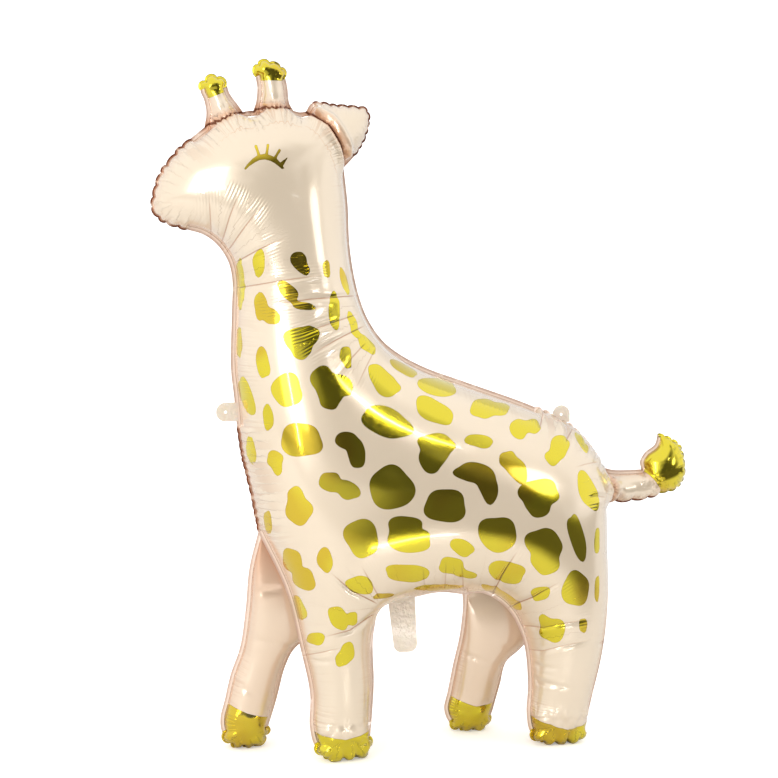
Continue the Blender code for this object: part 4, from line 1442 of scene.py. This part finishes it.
class StudioSettings(bpy.types.PropertyGroup):
    """Floor and light of the studio."""
    floor_colour: colour_property("Floor", "Colour of the paper sweep", "#FAF9F8")
    surround: FloatProperty(
        name="Surround", description="Brightness of the white walls round the balloon",
        default=1.12, min=0.0, max=4.0)
    shadow_side: FloatProperty(
        name="Camera side", description="Brightness of the unlit room behind the camera",
        default=0.09, min=0.0, max=1.0)
    key_power: power_property("Key light", "Power of the tall soft box on the left", 18.0)
    tube_power: power_property("Key tube", "Power of the tube before the tall soft box", 12.0)
    right_power: power_property("Right lamp", "Power of the round soft box on the right", 4.0)
    top_power: power_property("Top tube", "Power of the level tube above the camera", 0.045)
    back_power: power_property("Back light", "Power of the tall soft box behind the balloon", 7.0)
    low_power: power_property("Low tube", "Power of the short tube on the floor", 0.17, 50.0)


# Operators


class BALLOON_OT_envelope(bpy.types.Operator):
    """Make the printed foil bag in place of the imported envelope"""
    bl_idname = "balloon.envelope"
    bl_label = "Foil bag"

    def execute(self, context):
        settings = context.scene.balloon_settings
        edges = rims()
        middle = outline_middle(edges["upper"])
        sheets = []
        for pair, side, steps, seed in ((("near_front", "near_hind"), -1, NEAR_STEPS, 21),
                                        (("far_front", "far_hind"), 1, FAR_STEPS, 22)):
            rim = edges["upper"] + edges[pair[0]] + edges["belly"] + edges[pair[1]]
            sheets.append(dressed_sheet(rim, [], side, steps, middle, pair, settings,
                                        EYE_PATCH, seed))
        # A gusset's border runs down the leg and back along its fold
        folds = {"front": fold_line(*reversed(FRONT_FOLD)), "hind": fold_line(*reversed(HIND_FOLD))}
        for seed, name in enumerate(LEGS, 23):
            side, end = name.split("_")
            sheets.append(dressed_sheet(edges[name], folds[end], -1 if side == "near" else 1,
                                        GUSSET_STEPS, middle, [name], settings, seed=seed))
        piece = joined(sheets, "foil_envelope", printed_foil(settings, sheets[0][2]))
        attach(piece, "root")
        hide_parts("balloon_envelope")
        return {'FINISHED'}


class BALLOON_OT_eyelet_tabs(bpy.types.Operator):
    """Make the two flat tabs with their string eyelets"""
    bl_idname = "balloon.eyelet_tabs"
    bl_label = "Eyelet tabs"

    def execute(self, context):
        settings = context.scene.balloon_settings
        upper = rims()["upper"]
        middle = outline_middle(upper)
        material = welded_film(settings)
        radius = settings.tab_width / 2
        for name, place, heading, reach in EYELET_TABS:
            edge = edge_at(upper.rows, middle, place)
            tip = (reach - radius, 0)
            outer = [(-TAB_ROOT, -radius)] + arc(tip, radius, -90, 90, 32) + [(-TAB_ROOT, radius)]
            hole = arc(tip, settings.eyelet_diameter / 2, 0, 345, 23)
            shapes = []
            for shape in (outer, hole):
                ways = [turned(x, z, math.radians(heading)) for x, z in shape]
                shapes.append([(edge[0] + x, edge[1] + z) for x, z in ways])
            piece = film_slab(name, shapes, FILM_THICKNESS, material)
            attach(piece, "root")
        return {'FINISHED'}


class BALLOON_OT_filling_neck(bpy.types.Operator):
    """Make the flat filling neck under the belly"""
    bl_idname = "balloon.filling_neck"
    bl_label = "Filling neck"

    def execute(self, context):
        settings = context.scene.balloon_settings
        edges = rims()
        middle = outline_middle(edges["upper"])
        x, z = edge_at(edges["belly"].rows, middle, NECK_PLACE)
        low = z - settings.neck_length + NECK_CORNER
        shape = [(x - NECK_HALF_WIDTH, z + NECK_ROOT), (x - NECK_HALF_WIDTH, z)]
        shape += arc((x, low), NECK_CORNER, 180, 270, 12)
        shape += arc((x + NECK_CORNER, low), NECK_CORNER, 270, 360, 12)
        shape += [(x + NECK_HALF_WIDTH, z), (x + NECK_HALF_WIDTH, z + NECK_ROOT)]
        piece = film_slab("filling_neck", [shape], FILM_THICKNESS, welded_film(settings))
        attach(piece, "root")
        return {'FINISHED'}


class BALLOON_OT_studio(bpy.types.Operator):
    """Make the paper sweep, the lights and the camera"""
    bl_idname = "balloon.studio"
    bl_label = "Studio"

    def execute(self, context):
        settings = context.scene.studio_settings
        paper_sweep(settings)
        room_light(context.scene, settings)
        for name, place, width, height, setting, shape, aim, spread in SOFT_BOXES:
            lamp = soft_box(name, place, width, height, getattr(settings, setting), shape, aim)
            lamp.data.spread = math.radians(spread)
        photographer(context.scene)
        return {'FINISHED'}


def paper_sweep(settings):
    """A floor that curves up into a backdrop, square to the camera."""
    bm = bmesh.new()
    edges = [bm.edges.new([bm.verts.new((x, SWEEP_FRONT, 0.0))
                           for x in (-SWEEP_HALF, SWEEP_HALF)])]
    bend = [math.radians(angle) for angle in range(9, 91, 9)]
    section = [(SWEEP_REAR, 0.0)]
    section += [(SWEEP_REAR + SWEEP_RADIUS * math.sin(a), SWEEP_RADIUS - SWEEP_RADIUS * math.cos(a))
                for a in bend]
    section += [(SWEEP_REAR + SWEEP_RADIUS, SWEEP_TOP)]
    for y, z in section:
        made = bmesh.ops.extrude_edge_only(bm, edges=edges)["geom"]
        verts = [v for v in made if isinstance(v, bmesh.types.BMVert)]
        for vert in verts:
            vert.co = (vert.co.x, y, z)
        edges = [e for e in made if isinstance(e, bmesh.types.BMEdge)]
        edges = [e for e in edges if all(v in verts for v in e.verts)]
    bmesh.ops.recalc_face_normals(bm, faces=bm.faces)
    bm.transform(Matrix.Rotation(math.radians(CAMERA_AZIMUTH), 4, 'Z'))
    smooth_piece(bm, "paper_sweep", matte_floor(settings))


def room_light(scene, settings):
    """White walls all round, and an unlit room behind the camera.

    The unlit room is dark only to what the foil mirrors, and it has an uneven edge.
    """
    world = bpy.data.worlds.new("studio_room")
    world.use_nodes = True
    scene.world = world
    world.node_tree.nodes.clear()
    put = partial(add, world.node_tree)
    ray = put('TexCoord', out="Generated")
    toward = put('VectorMath', [ray, direction(DARK_AZIMUTH, DARK_ELEVATION)],
                 operation='DOT_PRODUCT')
    uneven = put('Math', [put('TexNoise', [ray, 3.4, 2.0]), 0.5], **LESS)
    toward = put('Math', [uneven, 0.65, toward], **TIMES_PLUS)
    room = put('MapRange', [toward, math.cos(math.radians(DARK_REACH)),
                            math.cos(math.radians(DARK_CORE)), settings.surround,
                            settings.shadow_side], **EASED)
    camera, glossy = (put('LightPath', out=f"Is {kind} Ray") for kind in ("Camera", "Glossy"))
    room = put('MapRange', [glossy, 0.0, 1.0, settings.surround * 0.98, room])
    strength = put('MapRange', [camera, 0.0, 1.0, room, 1.0])
    background = put('Background', [(1.0, 1.0, 1.0, 1), strength])
    put('OutputWorld', {"Surface": background})


def soft_box(name, place, width, height, power, shape, aim):
    """An area light that faces a point of the balloon."""
    light = bpy.data.lights.new(name, 'AREA')
    light.shape = shape
    light.size = width
    light.size_y = height
    light.energy = power
    lamp = stand(name, light)
    lamp.location = place
    lamp.rotation_euler = (Vector(aim) - Vector(place)).to_track_quat('-Z', 'Y').to_euler()
    lamp.visible_camera = False
    return lamp


def photographer(scene):
    """The camera at the photograph's place and angle."""
    camera = bpy.data.cameras.new("camera")
    camera.lens = CAMERA_LENS
    camera.sensor_width = CAMERA_SENSOR
    back = Vector(direction(CAMERA_AZIMUTH, CAMERA_ELEVATION))
    holder = stand("camera", camera)
    holder.location = CAMERA_AIM + back * CAMERA_DISTANCE
    holder.rotation_euler = back.to_track_quat('Z', 'Y').to_euler()
    scene.camera = holder
    scene.view_settings.view_transform = 'Standard'


class BALLOON_PT_panel(bpy.types.Panel):
    """Sidebar panel with the pieces and their values"""
    bl_idname = "BALLOON_PT_panel"
    bl_label = "Foil balloon"
    bl_space_type = 'VIEW_3D'
    bl_region_type = 'UI'
    bl_category = "Balloon"

    def draw(self, context):
        for settings in (context.scene.balloon_settings, context.scene.studio_settings):
            box = self.layout.box()
            for key in settings.__annotations__:
                box.prop(settings, key)
        for name in ("envelope", "eyelet_tabs", "filling_neck", "studio"):
            self.layout.operator("balloon." + name)


CLASSES = (BalloonSettings, StudioSettings, BALLOON_OT_envelope, BALLOON_OT_eyelet_tabs,
           BALLOON_OT_filling_neck, BALLOON_OT_studio, BALLOON_PT_panel)


def register():
    for cls in CLASSES:
        bpy.utils.register_class(cls)
    bpy.types.Scene.balloon_settings = PointerProperty(type=BalloonSettings)
    bpy.types.Scene.studio_settings = PointerProperty(type=StudioSettings)


def unregister():
    del bpy.types.Scene.studio_settings
    del bpy.types.Scene.balloon_settings
    for cls in reversed(CLASSES):
        bpy.utils.unregister_class(cls)


def main():
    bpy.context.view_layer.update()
    register()
    bpy.ops.balloon.envelope()
    bpy.ops.balloon.eyelet_tabs()
    bpy.ops.balloon.filling_neck()
    bpy.ops.balloon.studio()


if __name__ == "__main__":
    main()
